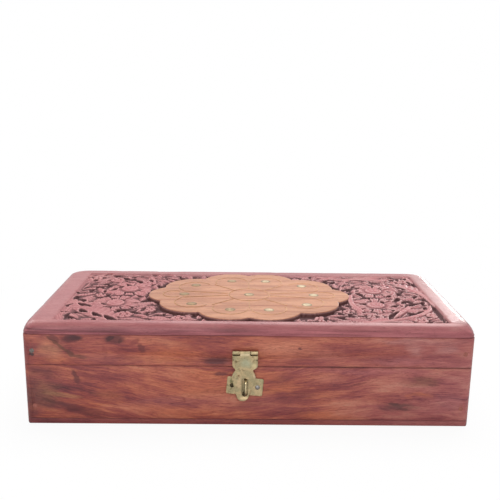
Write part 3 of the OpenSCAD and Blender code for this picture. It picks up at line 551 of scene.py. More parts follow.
class Nodes:
    """Short names for the nodes of one tree; a value is a number, a tuple or another node's socket."""

    def __init__(self, tree):
        self.tree = tree

    def put(self, socket, value):
        if isinstance(value, bpy.types.NodeSocket):
            self.tree.links.new(value, socket)
        else:
            size = len(socket.default_value) if isinstance(value, tuple) else 0
            socket.default_value = value[:size] if size else value

    def node(self, kind, sockets, **settings):
        node = self.tree.nodes.new("ShaderNode" + kind)
        for key, value in settings.items():
            setattr(node, key, value)
        for key, value in sockets.items():
            self.put(node.inputs[key], value)
        return node

    def maths(self, operation, first, second=0.0):
        return self.node("Math", {0: first, 1: second}, operation=operation).outputs[0]

    def add(self, first, second):
        return self.maths("ADD", first, second)

    def times(self, first, second):
        return self.maths("MULTIPLY", first, second)

    def vector(self, operation, first, second=(0, 0, 0)):
        return self.node("VectorMath", {0: first, 1: second}, operation=operation).outputs[0]

    def length(self, vector):
        return self.node("VectorMath", {0: vector}, operation="LENGTH").outputs["Value"]

    def join(self, x, y, z):
        return self.node("CombineXYZ", {0: x, 1: y, 2: z}).outputs[0]

    def split(self, value):
        return self.node("SeparateXYZ", {0: value}).outputs

    def place(self):
        return self.node("TexCoord", {}).outputs["Object"]

    def seen_by(self, *rays):
        """1 for the rays named, as Light Path names them, and 0 for others."""
        path = self.node("LightPath", {})
        total = path.outputs[rays[0]]
        for ray in rays[1:]:
            total = self.maths("MAXIMUM", total, path.outputs[ray])
        return total


class Paint(Nodes):
    """One material, with what its colour is made of."""

    def __init__(self, name):
        self.material = bpy.data.materials.new(name)
        self.material.use_nodes = True
        super().__init__(self.material.node_tree)
        self.surface = self.tree.nodes["Principled BSDF"]

    def set(self, **values):
        """Sets the surface's sockets, named with _ for a space."""
        for name, value in values.items():
            self.put(self.surface.inputs[name.replace("_", " ")], value)

    def millimetres(self):
        return self.vector("MULTIPLY", self.place(), (1000, 1000, 1000))

    def noise(self, place, detail=2.0, roughness=0.5):
        return self.node("TexNoise", {"Vector": place, "Scale": 1.0, "Detail": detail,
                                      "Roughness": roughness}).outputs

    def stretched(self, place, scales, shift=(0, 0, 0), detail=2.0, roughness=0.5):
        """Noise that is drawn out by its own scale along each axis, from about 0 to 1."""
        place = self.node("Mapping", {"Vector": place, "Scale": scales, "Location": shift}).outputs[0]
        return self.spread(self.noise(place, detail, roughness)[0], 0.25, 0.75)

    def spread(self, value, low, high, to_low=0.0, to_high=1.0):
        """Takes low..high to to_low..to_high, smoothly, and holds the ends."""
        sockets = {"Value": value, "From Min": low, "From Max": high, "To Min": to_low, "To Max": to_high}
        return self.node("MapRange", sockets, interpolation_type="SMOOTHSTEP").outputs[0]

    def mix(self, share, first, second):
        return self.node("Mix", {0: share, 6: first, 7: second}, data_type="RGBA").outputs[2]

    def shade(self, colour, level):
        """The colour made darker or lighter by a level around 1."""
        return self.vector("MULTIPLY", colour, self.join(level, level, level))

    def ramp(self, value, stops):
        node = self.node("ValToRGB", {0: value})
        steps = node.color_ramp.elements
        while len(steps) < len(stops):
            steps.new(0.5)
        for step, (place, colour) in zip(steps, stops):
            step.position = place
            step.color = colour
        return node.outputs[0]

    def mask(self, name):
        return self.node("Attribute", {}, attribute_name=name).outputs["Fac"]

    def ellipse(self, place, centre, reach, turn):
        """0 in the middle of a turned ellipse and 1 on its edge."""
        sockets = {"Vector": place, "Location": centre, "Rotation": turn, "Scale": reach}
        return self.length(self.node("Mapping", sockets, vector_type="TEXTURE").outputs[0])

    def bump(self, height, distance):
        sockets = {"Height": height, "Distance": distance * MM, "Strength": 1.0}
        self.set(Normal=self.node("Bump", sockets).outputs[0])


# ------------ wood

PALE = rgb(206, 136, 104)
PEACH = rgb(200, 128, 104)
SALMON = rgb(190, 118, 100)
ORANGE = rgb(190, 107, 76)
RED_BROWN = rgb(158, 78, 64)
PLUM = rgb(126, 56, 57)
DARK_PLUM = rgb(88, 40, 44)
BLACK_BROWN = rgb(50, 27, 30)
UMBER = rgb(104, 64, 48)
DARK_UMBER = rgb(84, 48, 40)
RED_UMBER = rgb(96, 54, 44)
SLATE_BROWN = rgb(96, 62, 56)
OLIVE = rgb(126, 86, 62)
STRAW = rgb(172, 122, 84)
MAUVE = rgb(172, 102, 104)
GREY_PINK = rgb(186, 130, 124)
# Colours of the carved top alone.
SHEEN_RIGHT = rgb(200, 164, 160)
SHOULDER_HIGHLIGHT = rgb(222, 170, 168)
HOLLOW = rgb(98, 50, 54)
CUT_GROUND = rgb(76, 41, 43)
OUTER_EDGE_SHADE = rgb(96, 66, 68)
END_BROWN = rgb(134, 70, 72)
WALL_SHADOW = rgb(88, 48, 44)
GRAIN_BROWN = rgb(148, 78, 44)
WEAR_HIGHLIGHT_LEFT = rgb(206, 146, 146)
WEAR_HIGHLIGHT_RIGHT = rgb(212, 168, 166)
TAN_DARK = rgb(144, 84, 54)
TAN_LIGHT = rgb(200, 141, 107)

FRONT_TONES = [
    (0.0, BLACK_BROWN), (0.2, DARK_PLUM), (0.38, PLUM), (0.56, RED_BROWN), (0.76, ORANGE), (1.0, PALE),
]
PINK_TONES = [
    (0.0, BLACK_BROWN), (0.2, DARK_PLUM), (0.38, rgb(134, 66, 74)), (0.6, rgb(164, 92, 94)), (1.0, GREY_PINK),
]
PLUM_TONES = [(0.0, BLACK_BROWN), (0.25, DARK_PLUM), (0.5, PLUM), (0.8, RED_BROWN), (1.0, ORANGE)]
LID_TONES = [(0.0, PLUM), (0.35, rgb(152, 84, 86)), (0.6, MAUVE), (1.0, GREY_PINK)]
RIM_TONES = [(0.0, rgb(104, 48, 54)), (0.45, rgb(144, 74, 82)), (1.0, rgb(184, 108, 112))]

# Broad soft zones and small dark figures on the front of the lid and of the base, as colour, x, z,
# half length, half height, turn and strength.
LID_ZONES = [
    (PALE, -110, 45, 12, 9, -30, 0.7), (PEACH, 20, 45.5, 30, 8, 0, 0.7),
    # The two grey-pink zones at x 91 and 109 on the next line are painted sheen on the varnish.
    (GREY_PINK, 91, 46, 8, 4.5, -5, 0.7), (GREY_PINK, 109, 46.5, 10, 3.6, 0, 0.6),
    (PLUM, 70, 40, 20, 4, -6, 0.45), (SALMON, 44, 42.5, 15, 5, 0, 0.5), (ORANGE, -44, 43, 22, 7, 0, 0.5),
    (DARK_PLUM, -17, 38.8, 12, 4.0, 0, 0.85), (PLUM, -21, 42.5, 9, 2.4, 4, 0.6),
    (MAUVE, 85, 39, 40, 3, 0, 0.5), (PLUM, -123, 44, 6, 14, 0, 0.8), (ORANGE, -108, 38.6, 12, 2.6, 0, 0.5),
    (PLUM, -70, 40.5, 10, 3, 0, 0.4), (PALE, -46, 49, 16, 3, -10, 0.4),
    (GREY_PINK, 92, 50.8, 42, 3.2, 0, 0.55), (PLUM, -90, 53, 34, 1.6, 0, 0.6),
]
LID_FIGURES = [
    (DARK_PLUM, -98, 51.2, 7.4, 3.2, 4, 0.95), (BLACK_BROWN, -96, 51.4, 5.4, 1.8, 0, 0.5),
    (DARK_PLUM, -74.5, 50.9, 7.8, 3.6, 0, 0.8), (BLACK_BROWN, -77, 51.2, 3.4, 1.4, 25, 0.7),
    (BLACK_BROWN, -71.5, 49.6, 2.0, 1.2, 60, 0.45), (UMBER, -105.5, 47.4, 10.5, 1.1, -40, 0.75),
    (DARK_UMBER, -99, 42.4, 3.6, 2.2, -30, 0.75), (RED_UMBER, -93.5, 40.5, 6, 1.4, -10, 0.65),
    (PLUM, -63, 49.5, 4.5, 1.6, 30, 0.6), (DARK_PLUM, -59.5, 45.6, 2.2, 4.0, 25, 0.6),
    (DARK_PLUM, 28, 46.2, 1.5, 0.9, 0, 0.8), (DARK_PLUM, -107.4, 51.0, 4.4, 2.6, -30, 0.6),
    (DARK_PLUM, -19, 38.6, 9, 2.4, 0, 0.75), (PLUM, -80, 44, 2.0, 5, 12, 0.4),
    (BLACK_BROWN, -120.2, 41.7, 1.5, 1.3, 0, 0.95),
]
BASE_ZONES = [
    (OLIVE, -114, 19, 12, 11, 0, 0.65), (DARK_PLUM, -114, 31, 15, 5, -8, 0.65),
    (PLUM, -84, 29, 26, 3.4, -10, 0.7), (DARK_PLUM, -99, 9.5, 26, 4.0, -14, 0.85),
    (ORANGE, -28, 22, 26, 7, -6, 0.6), (ORANGE, -78, 17, 15, 5, -10, 0.5),
    (PLUM, 28, 17.5, 26, 4.6, 15, 0.85), (ORANGE, 20, 23, 16, 4.6, 8, 0.7), (ORANGE, 38, 7, 18, 4, 4, 0.7),
    (SLATE_BROWN, 85, 12, 14, 3.6, 0, 0.75), (OLIVE, 97, 27, 16, 4.4, 0, 0.5),
    (ORANGE, 96, 19, 9, 2.4, 0, 0.7), (ORANGE, -44, 9, 34, 4.5, -6, 0.6),
    (DARK_PLUM, -113, 11, 12, 5, -20, 0.6), (MAUVE, 112, 14, 14, 10, 0, 0.4),
    (PLUM, -80, 27, 22, 3, -8, 0.5), (DARK_PLUM, -70, 0, 70, 4.5, 0, 0.55),
    (ORANGE, 50, 5, 26, 3.5, 0, 0.5), (PLUM, 80, 0, 60, 2.5, 0, 0.5), (PLUM, 0, 12, 20, 4, 10, 0.6),
    (DARK_PLUM, -122, 16, 9, 26, 0, 0.85), (MAUVE, 70, 33, 60, 2.5, 0, 0.4),
    (SALMON, 44, 29, 15, 5, 0, 0.45), (ORANGE, 16, 29, 12, 5, 0, 0.5),
]
BASE_FIGURES = [
    (DARK_PLUM, -96.5, 28.5, 2.2, 6, 20, 0.75), (DARK_PLUM, -16, 31.0, 5.2, 1.5, 0, 0.75),
    (BLACK_BROWN, 82, 13.6, 4.2, 1.0, -4, 0.6), (BLACK_BROWN, 87, 10.4, 5, 1.0, -4, 0.5),
    (DARK_PLUM, 103, 25.2, 5, 0.8, 0, 0.5), (DARK_PLUM, -84, 4.2, 12, 1.2, -13, 0.4),
    (BLACK_BROWN, -112, 14, 6, 1.6, -20, 0.4), (DARK_PLUM, 60, 25, 8, 1.0, 14, 0.4),
    (STRAW, -104, 17.5, 13, 1.8, -8, 0.5),
]
# How zones and figures fray, as [scale of the noise, how far it pushes in millimetres, hardness].
ZONE_FRAY, FIGURE_FRAY = (0.12, 14, 0.0), (0.3, 3.2, 0.45)

# Dark grain lines across the medallion, as distance from the front edge, half width, turn and strength.
GRAIN_LINES = [
    (64, 0.65, 0.3, 0.8), (46.5, 0.75, 4.2, 0.75), (32, 0.65, 1.8, 0.8), (75, 0.55, -0.4, 0.5),
    (55, 0.45, 0.5, 0.45), (87, 0.5, 0.6, 0.4), (22, 0.4, -0.8, 0.35),
]
ENDLESS = 1e6           # half length of a mark in a direction in which it has no end


def grain(p, place, pith, sweep, seed, figure=1.0):
    """The wood's tone from 0, dark, to 1, light, with its fibres, its lines and the wandering place.

    The grain runs along the first axis of place. sweep is where it dips, how steeply it comes down
    to there, how softly it turns, and where it runs level again.
    """
    shift = (seed * 7.3, seed * 3.1, seed * 5.7)
    slow = p.node("Mapping", {"Vector": place, "Scale": (0.014, 0.045, 0.045), "Location": shift}).outputs[0]
    wander = p.vector("SUBTRACT", p.noise(slow, 3)[1], (0.5, 0.5, 0.5))
    bent = p.vector("ADD", place, p.vector("MULTIPLY", wander, (0, 9, 9)))
    x, y, z = p.split(bent)
    dip, slope, turn, end = sweep
    run = p.times(p.add(p.maths("MINIMUM", x, end), -dip), slope)
    level = p.add(z, p.times(p.length(p.join(run, turn, 0.0)), -1.0))
    ring = p.length(p.join(0.0, p.add(y, -pith[0]), p.add(level, -pith[1])))
    bands = p.spread(p.noise(p.join(p.times(ring, 0.3), p.times(x, 0.012), seed), 4, 0.6)[0], 0.3, 0.7)
    lines = p.spread(p.noise(p.join(p.times(ring, 1.7), p.times(x, 0.035), seed + 3), 3, 0.6)[0], 0.32, 0.68)
    along = p.join(x, y, level)
    clouds = p.stretched(along, (0.035, 0.11, 0.11), shift, 3)
    fibres = p.stretched(along, (0.13, 1.9, 1.9), shift, 3, 0.65)
    tone = 0.6
    strengths = (0.16 * figure, 0.11 * figure, 0.26 * figure, 0.22)
    for part, strength in zip((bands, lines, clouds, fibres), strengths):
        tone = p.add(p.times(p.add(part, -0.5), strength), tone)
    return tone, fibres, lines, bent


def painted_joint_shade(p, colour, place, joints):
    """Paints shade on upright faces beside joints, given as height and strength at the left and the right."""
    x, _, z = p.split(place)
    flank = p.split(p.node("TexCoord", {}).outputs["Normal"])[2]
    upright = p.spread(p.maths("ABSOLUTE", flank), 0.8, 0.5)
    patchy = p.stretched(place, (0.05, 0.05, 0.05), (3, 3, 3), 3)
    for height, left, right in joints:
        near = p.spread(p.maths("ABSOLUTE", p.add(z, -height)), 0.75, 0.15)
        strength = p.times(p.spread(x, -110, 60, left, right), p.spread(patchy, 0, 1, 0.6, 1.1))
        # painted shade: a dark line along each joint, where the gap lies in shade
        colour = p.mix(p.times(p.times(near, upright), strength), colour, BLACK_BROWN)
    return colour


def finish_wood(p, colour, fibres, lines, place, gloss, depth=0.05):
    """Pores, varnish and the fine relief that every board shares."""
    pores = p.spread(p.stretched(place, (0.4, 4.5, 4.5), (9, 2, 4), 1), 0.8, 0.95)
    rough = p.add(p.add(gloss, p.times(p.add(fibres, -0.5), 0.12)), p.times(pores, 0.15))
    colour = p.shade(colour, p.spread(pores, 0, 1, 1, 0.72))
    p.set(Base_Color=colour, Roughness=rough, Specular_IOR_Level=0.4)
    relief = p.add(p.times(fibres, 0.5), p.times(lines, 0.35))
    p.bump(p.add(relief, p.times(pores, -1.0)), depth)


def frayed(p, here, cell, reach):
    """The place, moved about by noise so that what is drawn with it has an uneven edge."""
    push = p.noise(p.vector("MULTIPLY", here, (cell, cell * 2, cell * 2)), 3)[1]
    centred = p.vector("SUBTRACT", push, (0.5, 0.5, 0.5))
    return p.vector("ADD", here, p.vector("MULTIPLY", centred, (reach, 0, reach * 0.45)))


def marked(p, colour, place, marks, hard, share, level):
    """The colour with ellipses laid over it, seen from the front and turned anticlockwise.

    A mark is colour, x, z, half length, half height, turn and strength. It is even out to the share
    hard of its reach, and fades from there.
    """
    for tint, at_x, at_z, long, high, turn, strength in marks:
        far = p.ellipse(place, (at_x, 0, at_z), (long, ENDLESS, high), (0, -math.radians(turn), 0))
        inside = p.spread(far, 1.0, hard)
        colour = p.mix(p.times(inside, p.times(share, strength)), colour, p.shade(tint, level))
    return colour


def board_wood(name, tones, seed, along="x", pith=(60, -60), sweep=(0, 0.05, 8, 200), zones=(),
               figures=(), pink=0.5, figure=1.0):
    p = Paint(name)
    here = p.millimetres()
    x, y, z = p.split(here)
    turned = p.join(y, x, z) if along == "y" else here
    tone, fibres, lines, bent = grain(p, turned, pith, sweep, seed, figure)
    blush = p.stretched(here, (0.02, 0.02, 0.05), (seed, 4, 7), 2)
    pinkness = p.add(p.times(blush, 0.3), p.spread(x, 10, 110, 0, pink))
    # painted shade: the boards darker toward the left end, away from the light at the right
    tone = p.add(tone, p.spread(x, -120, -20, -0.09, 0.02))
    colour = p.mix(pinkness, p.ramp(tone, tones), p.ramp(tone, PINK_TONES))
    share = p.spread(fibres, 0, 1, 0.8, 1.1)
    level = p.add(p.add(p.times(fibres, 0.26), p.times(lines, 0.14)), 0.8)
    for marks, (cell, reach, hard) in ((zones, ZONE_FRAY), (figures, FIGURE_FRAY)):
        colour = marked(p, colour, frayed(p, here, cell, reach), marks, hard, share, level)
    # Painted shade along the joints of the boards.
    joints = [(SEAM_Z, 0.3, 0.9), (TOP_UNDER, 0.1, 0.3), (BOTTOM_T, 0.3, 0.5)]
    finish_wood(p, painted_joint_shade(p, colour, here, joints), fibres, lines, bent, 0.45)
    return p.material


def border_colour(p, here, tone):
    """The plain border: lighter and greyer at the right with a painted sheen, and with a painted highlight
    where its front edge turns over at both ends.
    """
    x, y, z = p.split(here)
    # painted sheen: the right border and its rounding made lighter and greyer
    right_sheen = p.times(p.spread(x, 108, 120, 0, 0.55), p.spread(z, TOP_Z - 1.6, TOP_Z - 0.4))
    colour = p.mix(right_sheen, p.ramp(tone, LID_TONES), SHEEN_RIGHT)
    # painted highlight along the rounding of the front edge, strongest at the right
    shoulder_highlight = p.add(p.spread(x, 0, 110, 0, 0.6), p.spread(x, -95, -118, 0, 0.4))
    shoulder = p.times(p.spread(y, FRONT + 6, FRONT + 4), p.spread(z, TOP_Z - 1.8, TOP_Z - 0.5))
    return p.mix(p.times(shoulder_highlight, shoulder), colour, SHOULDER_HIGHLIGHT)


def carving_colour(p, here, colour, deep, carved):
    """Leaves of uneven tone, their raised edges lightened by wear and a painted highlight, and hollows and
    ground darkened by stain and painted shade.
    """
    x, y, _ = p.split(here)
    cavity = p.mask("cavity")
    colour = p.shade(colour, p.spread(carved, 0, 1, 1, 0.9))
    colour = p.shade(colour, p.spread(p.mask("tone"), 0, 1, 0.88, 1.14))
    # raised edges: wear and a painted highlight, whiter toward the right where the light falls
    rubbed = p.mix(p.spread(x, -90, 90), WEAR_HIGHLIGHT_LEFT, WEAR_HIGHLIGHT_RIGHT)
    colour = p.mix(p.spread(cavity, 0.48, 0.22, 0, 0.6), colour, rubbed)
    # painted shade with stain: hollows and the cut ground made dark
    colour = p.mix(p.spread(cavity, 0.53, 0.9, 0, 0.75), colour, HOLLOW)
    colour = p.mix(p.spread(deep, 0.3, 0.68, 0, 0.92), colour, CUT_GROUND)
    return p.shade(colour, p.spread(y, 5, 45, 1, 0.95))


def rim_colour(p, here, colour, deep):
    """The board's upright rim, streaked, lighter to the right with painted light from the right, and browner
    at its ends.
    """
    x, _, z = p.split(here)
    streaks = p.stretched(here, (0.03, 0.5, 0.7), (4, 2, 9), 3)
    ends = p.spread(p.maths("ABSOLUTE", x), HALF_W - 2, HALF_W - 0.5, 0, 0.8)
    # painted light: the rim tone darker at the left and lighter at the right
    tone = p.shade(p.mix(ends, p.ramp(streaks, RIM_TONES), END_BROWN), p.spread(x, -60, 60, 0.9, 1.16))
    upright = p.times(p.spread(z, TOP_Z - 2.2, TOP_Z - 4.2), p.spread(deep, 0.01, 0.0))
    return p.mix(p.times(upright, p.spread(x, -60, 100, 0.95, 0.55)), colour, tone)


def medallion_colour(p, colour, tone, place, deep):
    """The tan medallion with its grain lines, and painted shadow on its cut wall."""
    raised = p.mask("medallion")
    # painted shadow on the wall below the medallion's edge
    wall = p.times(p.spread(raised, 0.96, 0.75), p.spread(raised, 0.0, 0.1))
    colour = p.mix(p.times(wall, 0.7), colour, WALL_SHADOW)
    tan = p.mix(p.spread(tone, 0.25, 0.85), TAN_DARK, TAN_LIGHT)
    for back, half, turn, strength in GRAIN_LINES:
        far = p.ellipse(place, (0, FRONT + back, 0), (ENDLESS, half, ENDLESS), (0, 0, math.radians(turn)))
        tan = p.mix(p.spread(far, 1.8, 0.2, 0, strength), tan, GRAIN_BROWN)
    return p.mix(p.times(raised, p.spread(deep, 0.06, 0.2, 1, 0)), colour, tan)


def carved_wood():
    p = Paint("carved_wood_pink")
    here = p.millimetres()
    tone, fibres, lines, bent = grain(p, here, (10, -60), (0, 0.02, 8, 200), 6.0, 0.8)
    _, y, z = p.split(here)
    deep = p.mask("cut_depth")
    carved = p.spread(deep, 0.01, 0.04)
    outer_edge = p.times(p.spread(z, TOP_Z - 0.8, TOP_Z - 1.5), p.spread(y, FRONT + 4, FRONT + 12))
    colour = carving_colour(p, here, border_colour(p, here, tone), deep, carved)
    # painted shade: a dark line where the outer rounding turns away
    colour = p.mix(p.times(outer_edge, 0.8), colour, OUTER_EDGE_SHADE)
    colour = rim_colour(p, here, colour, deep)
    colour = medallion_colour(p, colour, tone, bent, deep)
    # painted shade under the board's lower edge
    colour = painted_joint_shade(p, colour, here, [(TOP_UNDER, 0.1, 0.3)])
    gloss = p.add(0.35, p.add(p.times(outer_edge, 0.4), p.times(carved, 0.12)))
    finish_wood(p, colour, fibres, lines, bent, gloss, 0.002)
    return p.material


# ------------ metal

GREEN_GREY = rgb(150, 152, 124)
LOOP_LEFT_SHADOW = rgb(64, 54, 38)
RIM_BROWN = rgb(112, 88, 58)
RUST = rgb(66, 58, 44)


def finish_metal(p, colour, share, rough, relief, depth, metallic=1.0):
    """The sockets that every metal sets; its roughness runs between two values with share."""
    p.set(Base_Color=colour, Metallic=metallic, Roughness=p.spread(share, 0, 1, *rough))
    p.bump(relief, depth)
    return p.material


def brass(name, bright, dull, stain, roughness, dark_left=None, marks=()):
    """Aged brass; dark_left is where, along X, a fitting with a painted shadow on its left turns bright."""
    p = Paint(name)
    here = p.millimetres()
    patches = p.stretched(here, (0.22, 0.3, 0.3), (3, 1, 2), 3, 0.6)
    clouds = p.stretched(here, (0.6, 0.6, 0.6), (8, 4, 6), 4, 0.6)
    specks = p.stretched(here, (1.3, 1.3, 1.3), (5, 5, 1), 3, 0.7)
    colour = p.mix(p.add(p.times(patches, 0.6), p.times(clouds, 0.4)), dull, bright)
    colour = p.mix(p.spread(patches, 0.75, 0.3, 0, 0.35), colour, GREEN_GREY)
    colour = p.mix(p.spread(clouds, 0.66, 0.95, 0, 0.55), colour, stain)
    colour = p.mix(p.spread(specks, 0.7, 1.0, 0, 0.4), colour, stain)
    colour = marked(p, colour, frayed(p, here, 0.5, 2.0), marks, 0.2, p.spread(clouds, 0, 1, 0.7, 1.1), 1.0)
    # painted shadow on the left of the fitting
    if dark_left is not None:
        x = p.split(here)[0]
        colour = p.mix(p.spread(x, dark_left - 0.3, dark_left + 0.5), LOOP_LEFT_SHADOW, colour)
    relief = p.add(patches, p.times(specks, 0.3))
    return finish_metal(p, colour, specks, (roughness - 0.08, roughness + 0.14), relief, 0.06)


def inlay_metal(name, left, right, roughness):
    """Brass let into the lid, darker toward the left and toward each disc's rim."""
    p = Paint(name)
    here = p.millimetres()
    patches = p.stretched(here, (0.5, 0.5, 0.5), (2, 6, 1), 3, 0.6)
    along = p.add(p.split(here)[0], p.times(p.add(patches, -0.5), 20))
    colour = p.mix(p.spread(along, -20, 25), left, right)
    colour = p.mix(p.spread(p.mask("rim"), 0.5, 0.8, 0, 0.7), colour, RIM_BROWN)
    colour = p.shade(colour, p.spread(patches, 0, 1, 0.85, 1.1))
    return finish_metal(p, colour, patches, (roughness - 0.06, roughness + 0.1), patches, 0.02)


def grimy(name):
    """A new paint with its place and the grime of a nail head."""
    p = Paint(name)
    here = p.millimetres()
    return p, here, p.stretched(here, (1.1, 1.1, 1.1), (4, 2, 8), 4, 0.7)


def steel(name, dark_left=-FAR):
    """Nail steel; what lies left of dark_left is rusted dark."""
    p, here, grime = grimy(name)
    bare = p.spread(p.split(here)[0], dark_left - 1, dark_left + 1)
    colour = p.mix(bare, RUST, p.mix(grime, rgb(82, 74, 72), rgb(168, 166, 162)))
    return finish_metal(p, colour, grime, (0.55, 0.3), grime, 0.04)


def filled_nail():
    """The corner nails: bare steel at the left of the lid, and elsewhere stopped over with wood filler."""
    p, here, grime = grimy("corner_nail_steel")
    x, _, z = p.split(here)
    bare = p.times(p.spread(x, -100, -110), p.spread(z, SEAM_Z - 2, SEAM_Z + 2))
    filler = p.mix(grime, rgb(128, 66, 58), rgb(168, 96, 80))
    colour = p.mix(bare, filler, p.mix(grime, rgb(76, 66, 62), rgb(140, 134, 128)))
    return finish_metal(p, colour, grime, (0.55, 0.35), grime, 0.04, bare)


# ------------ pieces copied from the frame

SHARP_ANGLE, FLAT_ANGLE, SMOOTH_ANGLE = 50, 0.5, 35     # degrees
BORE_REACH = 8          # outlines no wider than this are bores, and are not eased
EASE = 0.3              # how far a board's edges are rubbed down
WEAR_ROUNDS = 3         # rounds of smoothing on a stamped fitting
DISC_SIDES = 36
# A disc's rings from its middle out, as share of its radius and height over its top.
DISC_RINGS = [
    (0.25, -0.01), (0.5, -0.03), (0.7, -0.06), (0.85, -0.1), (0.95, -0.16), (1.0, -0.26),
    (1.0, DISC_LO[2] - DISC_HI[2]),
]


def working_copy(node):
    """The node's mesh as a bmesh with its doubled points joined and its flat faces whole."""
    bm = bmesh.new()
    bm.from_mesh(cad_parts[node].data)
    bmesh.ops.remove_doubles(bm, verts=bm.verts, dist=0.0005 * MM)
    bmesh.ops.dissolve_limit(bm, angle_limit=math.radians(FLAT_ANGLE), verts=bm.verts, edges=bm.edges)
    return bm


def sharp_outlines(bm):
    """Sharp edges that hang together over more than a bore does."""
    least = math.radians(SHARP_ANGLE)
    sharp = {e for e in bm.edges if len(e.link_faces) == 2 and e.calc_face_angle() > least}
    chosen = []
    while sharp:
        group, todo = [], [sharp.pop()]
        while todo:
            edge = todo.pop()
            group.append(edge)
            for vert in edge.verts:
                for other in vert.link_edges:
                    if other in sharp:
                        sharp.remove(other)
                        todo.append(other)
        corners = np.array([v.co for e in group for v in e.verts])
        if np.linalg.norm(corners.max(0) - corners.min(0)) > BORE_REACH * MM:
            chosen += group
    return chosen


def piece_from_bmesh(name, bm, node, body, material):
    mesh = bpy.data.meshes.new(name)
    bm.to_mesh(mesh)
    bm.free()
    mesh.materials.append(material)
    mesh.shade_smooth()
    mesh.set_sharp_from_angle(angle=math.radians(SMOOTH_ANGLE))
    return add_piece(name, mesh, body, [node])


def eased_board(node, body, material):
    """A board with its edges rubbed down a little, as sanding leaves them."""
    bm = working_copy(node)
    bmesh.ops.bevel(bm, geom=sharp_outlines(bm), offset=EASE * MM, segments=2, profile=0.5, affect="EDGES",
                    clamp_overlap=True)
    return piece_from_bmesh("eased_" + node, bm, node, body, material)


def soft_metal(node, body, material, voxel):
    """A stamped fitting with every edge softened by wear."""
    bm = working_copy(node)
    bmesh.ops.triangulate(bm, faces=bm.faces)
    piece = piece_from_bmesh("worn_" + node, bm, node, body, material)
    remesh = piece.modifiers.new("remesh", "REMESH")
    remesh.mode = "VOXEL"
    remesh.voxel_size = voxel * MM
    smooth = piece.modifiers.new("smooth", "SMOOTH")
    smooth.factor = 0.5
    smooth.iterations = WEAR_ROUNDS
    depsgraph = bpy.context.evaluated_depsgraph_get()
    mesh = bpy.data.meshes.new_from_object(piece.evaluated_get(depsgraph))
    piece.modifiers.clear()
    piece.data = mesh
    mesh.shade_smooth()
    return piece


def domed_discs(material):
    """The inlaid brass discs, each a shallow dome that the polisher has rounded over at its rim."""
    verts, faces, rims = [], [], []
    here = np.arange(DISC_SIDES)
    after = np.roll(here, -1)
    turn = 2 * math.pi * here / DISC_SIDES
    for cx, cy in disc_spots():
        verts.append((cx, cy, DISC_HI[2]))
        rims.append(0.0)
        ring = len(verts)
        faces += [(ring - 1, ring + k, ring + n) for k, n in zip(here, after)]
        for share, drop in DISC_RINGS:
            reach = disc_radius() * share
            places = zip(cx + reach * np.cos(turn), cy + reach * np.sin(turn))
            verts += [(x, y, DISC_HI[2] + drop) for x, y in places]
            rims += [share] * DISC_SIDES
        last = len(verts) - DISC_SIDES
        for high in range(ring, last, DISC_SIDES):
            low = high + DISC_SIDES
            faces += [(high + k, low + k, low + n, high + n) for k, n in zip(here, after)]
        faces.append(tuple(reversed(range(last, len(verts)))))
    mesh = drawn_mesh("domed_discs", verts, faces)
    store(mesh, "rim", rims)
    mesh.materials.append(material)
    add_piece("domed_discs", mesh, "lid", ["inlay_discs"])


def disc_spots():
    """The middle of each inlaid disc: one in the middle, and one in every lobe of the medallion."""
    (side_x, _, _), (slant_x, slant_y, _), (end_x, end_y, _) = LOBES
    quarter = [(side_x - SIDE_DISC_IN, 0.0), (slant_x, slant_y + SLANT_DISC_OUT),
               (end_x, end_y + END_DISC_OUT)]
    spots = {(0.0, 0.0)} | {(sx * x, sy * y) for x, y in quarter for sx in (-1, 1) for sy in (-1, 1)}
    return [(MEDALLION[0] + x, MEDALLION[1] + y) for x, y in sorted(spots)]


def disc_radius():
    return (DISC_HI[0] - DISC_LO[0]) / 2 - LOBES[0][0] + SIDE_DISC_IN


FRONT_BASE = board_wood("front_base_wood", FRONT_TONES, 2.0, sweep=(-5, 0.2, 9, 70), zones=BASE_ZONES,
                        figures=BASE_FIGURES, figure=1.5)
FRONT_LID = board_wood("front_lid_wood", FRONT_TONES, 4.0, sweep=(20, 0.06, 6, 200), zones=LID_ZONES,
                       figures=LID_FIGURES)
BACK_WOOD = board_wood("back_wood", FRONT_TONES, 9.0, pith=(-60, -50), sweep=(30, 0.08, 9, 200))
SIDE_WOOD = board_wood("end_board_wood", FRONT_TONES, 12.0, "y", pith=(190, -50), pink=0.2)
BOTTOM_WOOD = board_wood("bottom_board_wood", PLUM_TONES, 15.0, pith=(0, -40))

for node, body, slot, material in [
    ("base_front_board", "base", "side_wood", FRONT_BASE),
    ("base_back_board", "base", "side_wood", BACK_WOOD),
    ("base_left_end", "base", "side_wood", SIDE_WOOD),
    ("base_right_end", "base", "side_wood", SIDE_WOOD),
    ("base_bottom_board", "base", "bottom_wood", BOTTOM_WOOD),
    ("lid_front_rail", "lid", "side_wood", FRONT_LID),
    ("lid_back_rail", "lid", "side_wood", BACK_WOOD),
    ("lid_left_rail", "lid", "side_wood", SIDE_WOOD),
    ("lid_right_rail", "lid", "side_wood", SIDE_WOOD),
]:
    eased_board(node, body, material)

carved_top.data.materials.append(carved_wood())

LOOP_X = sum(corner[0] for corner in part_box("staple_loop")) / 2 / MM
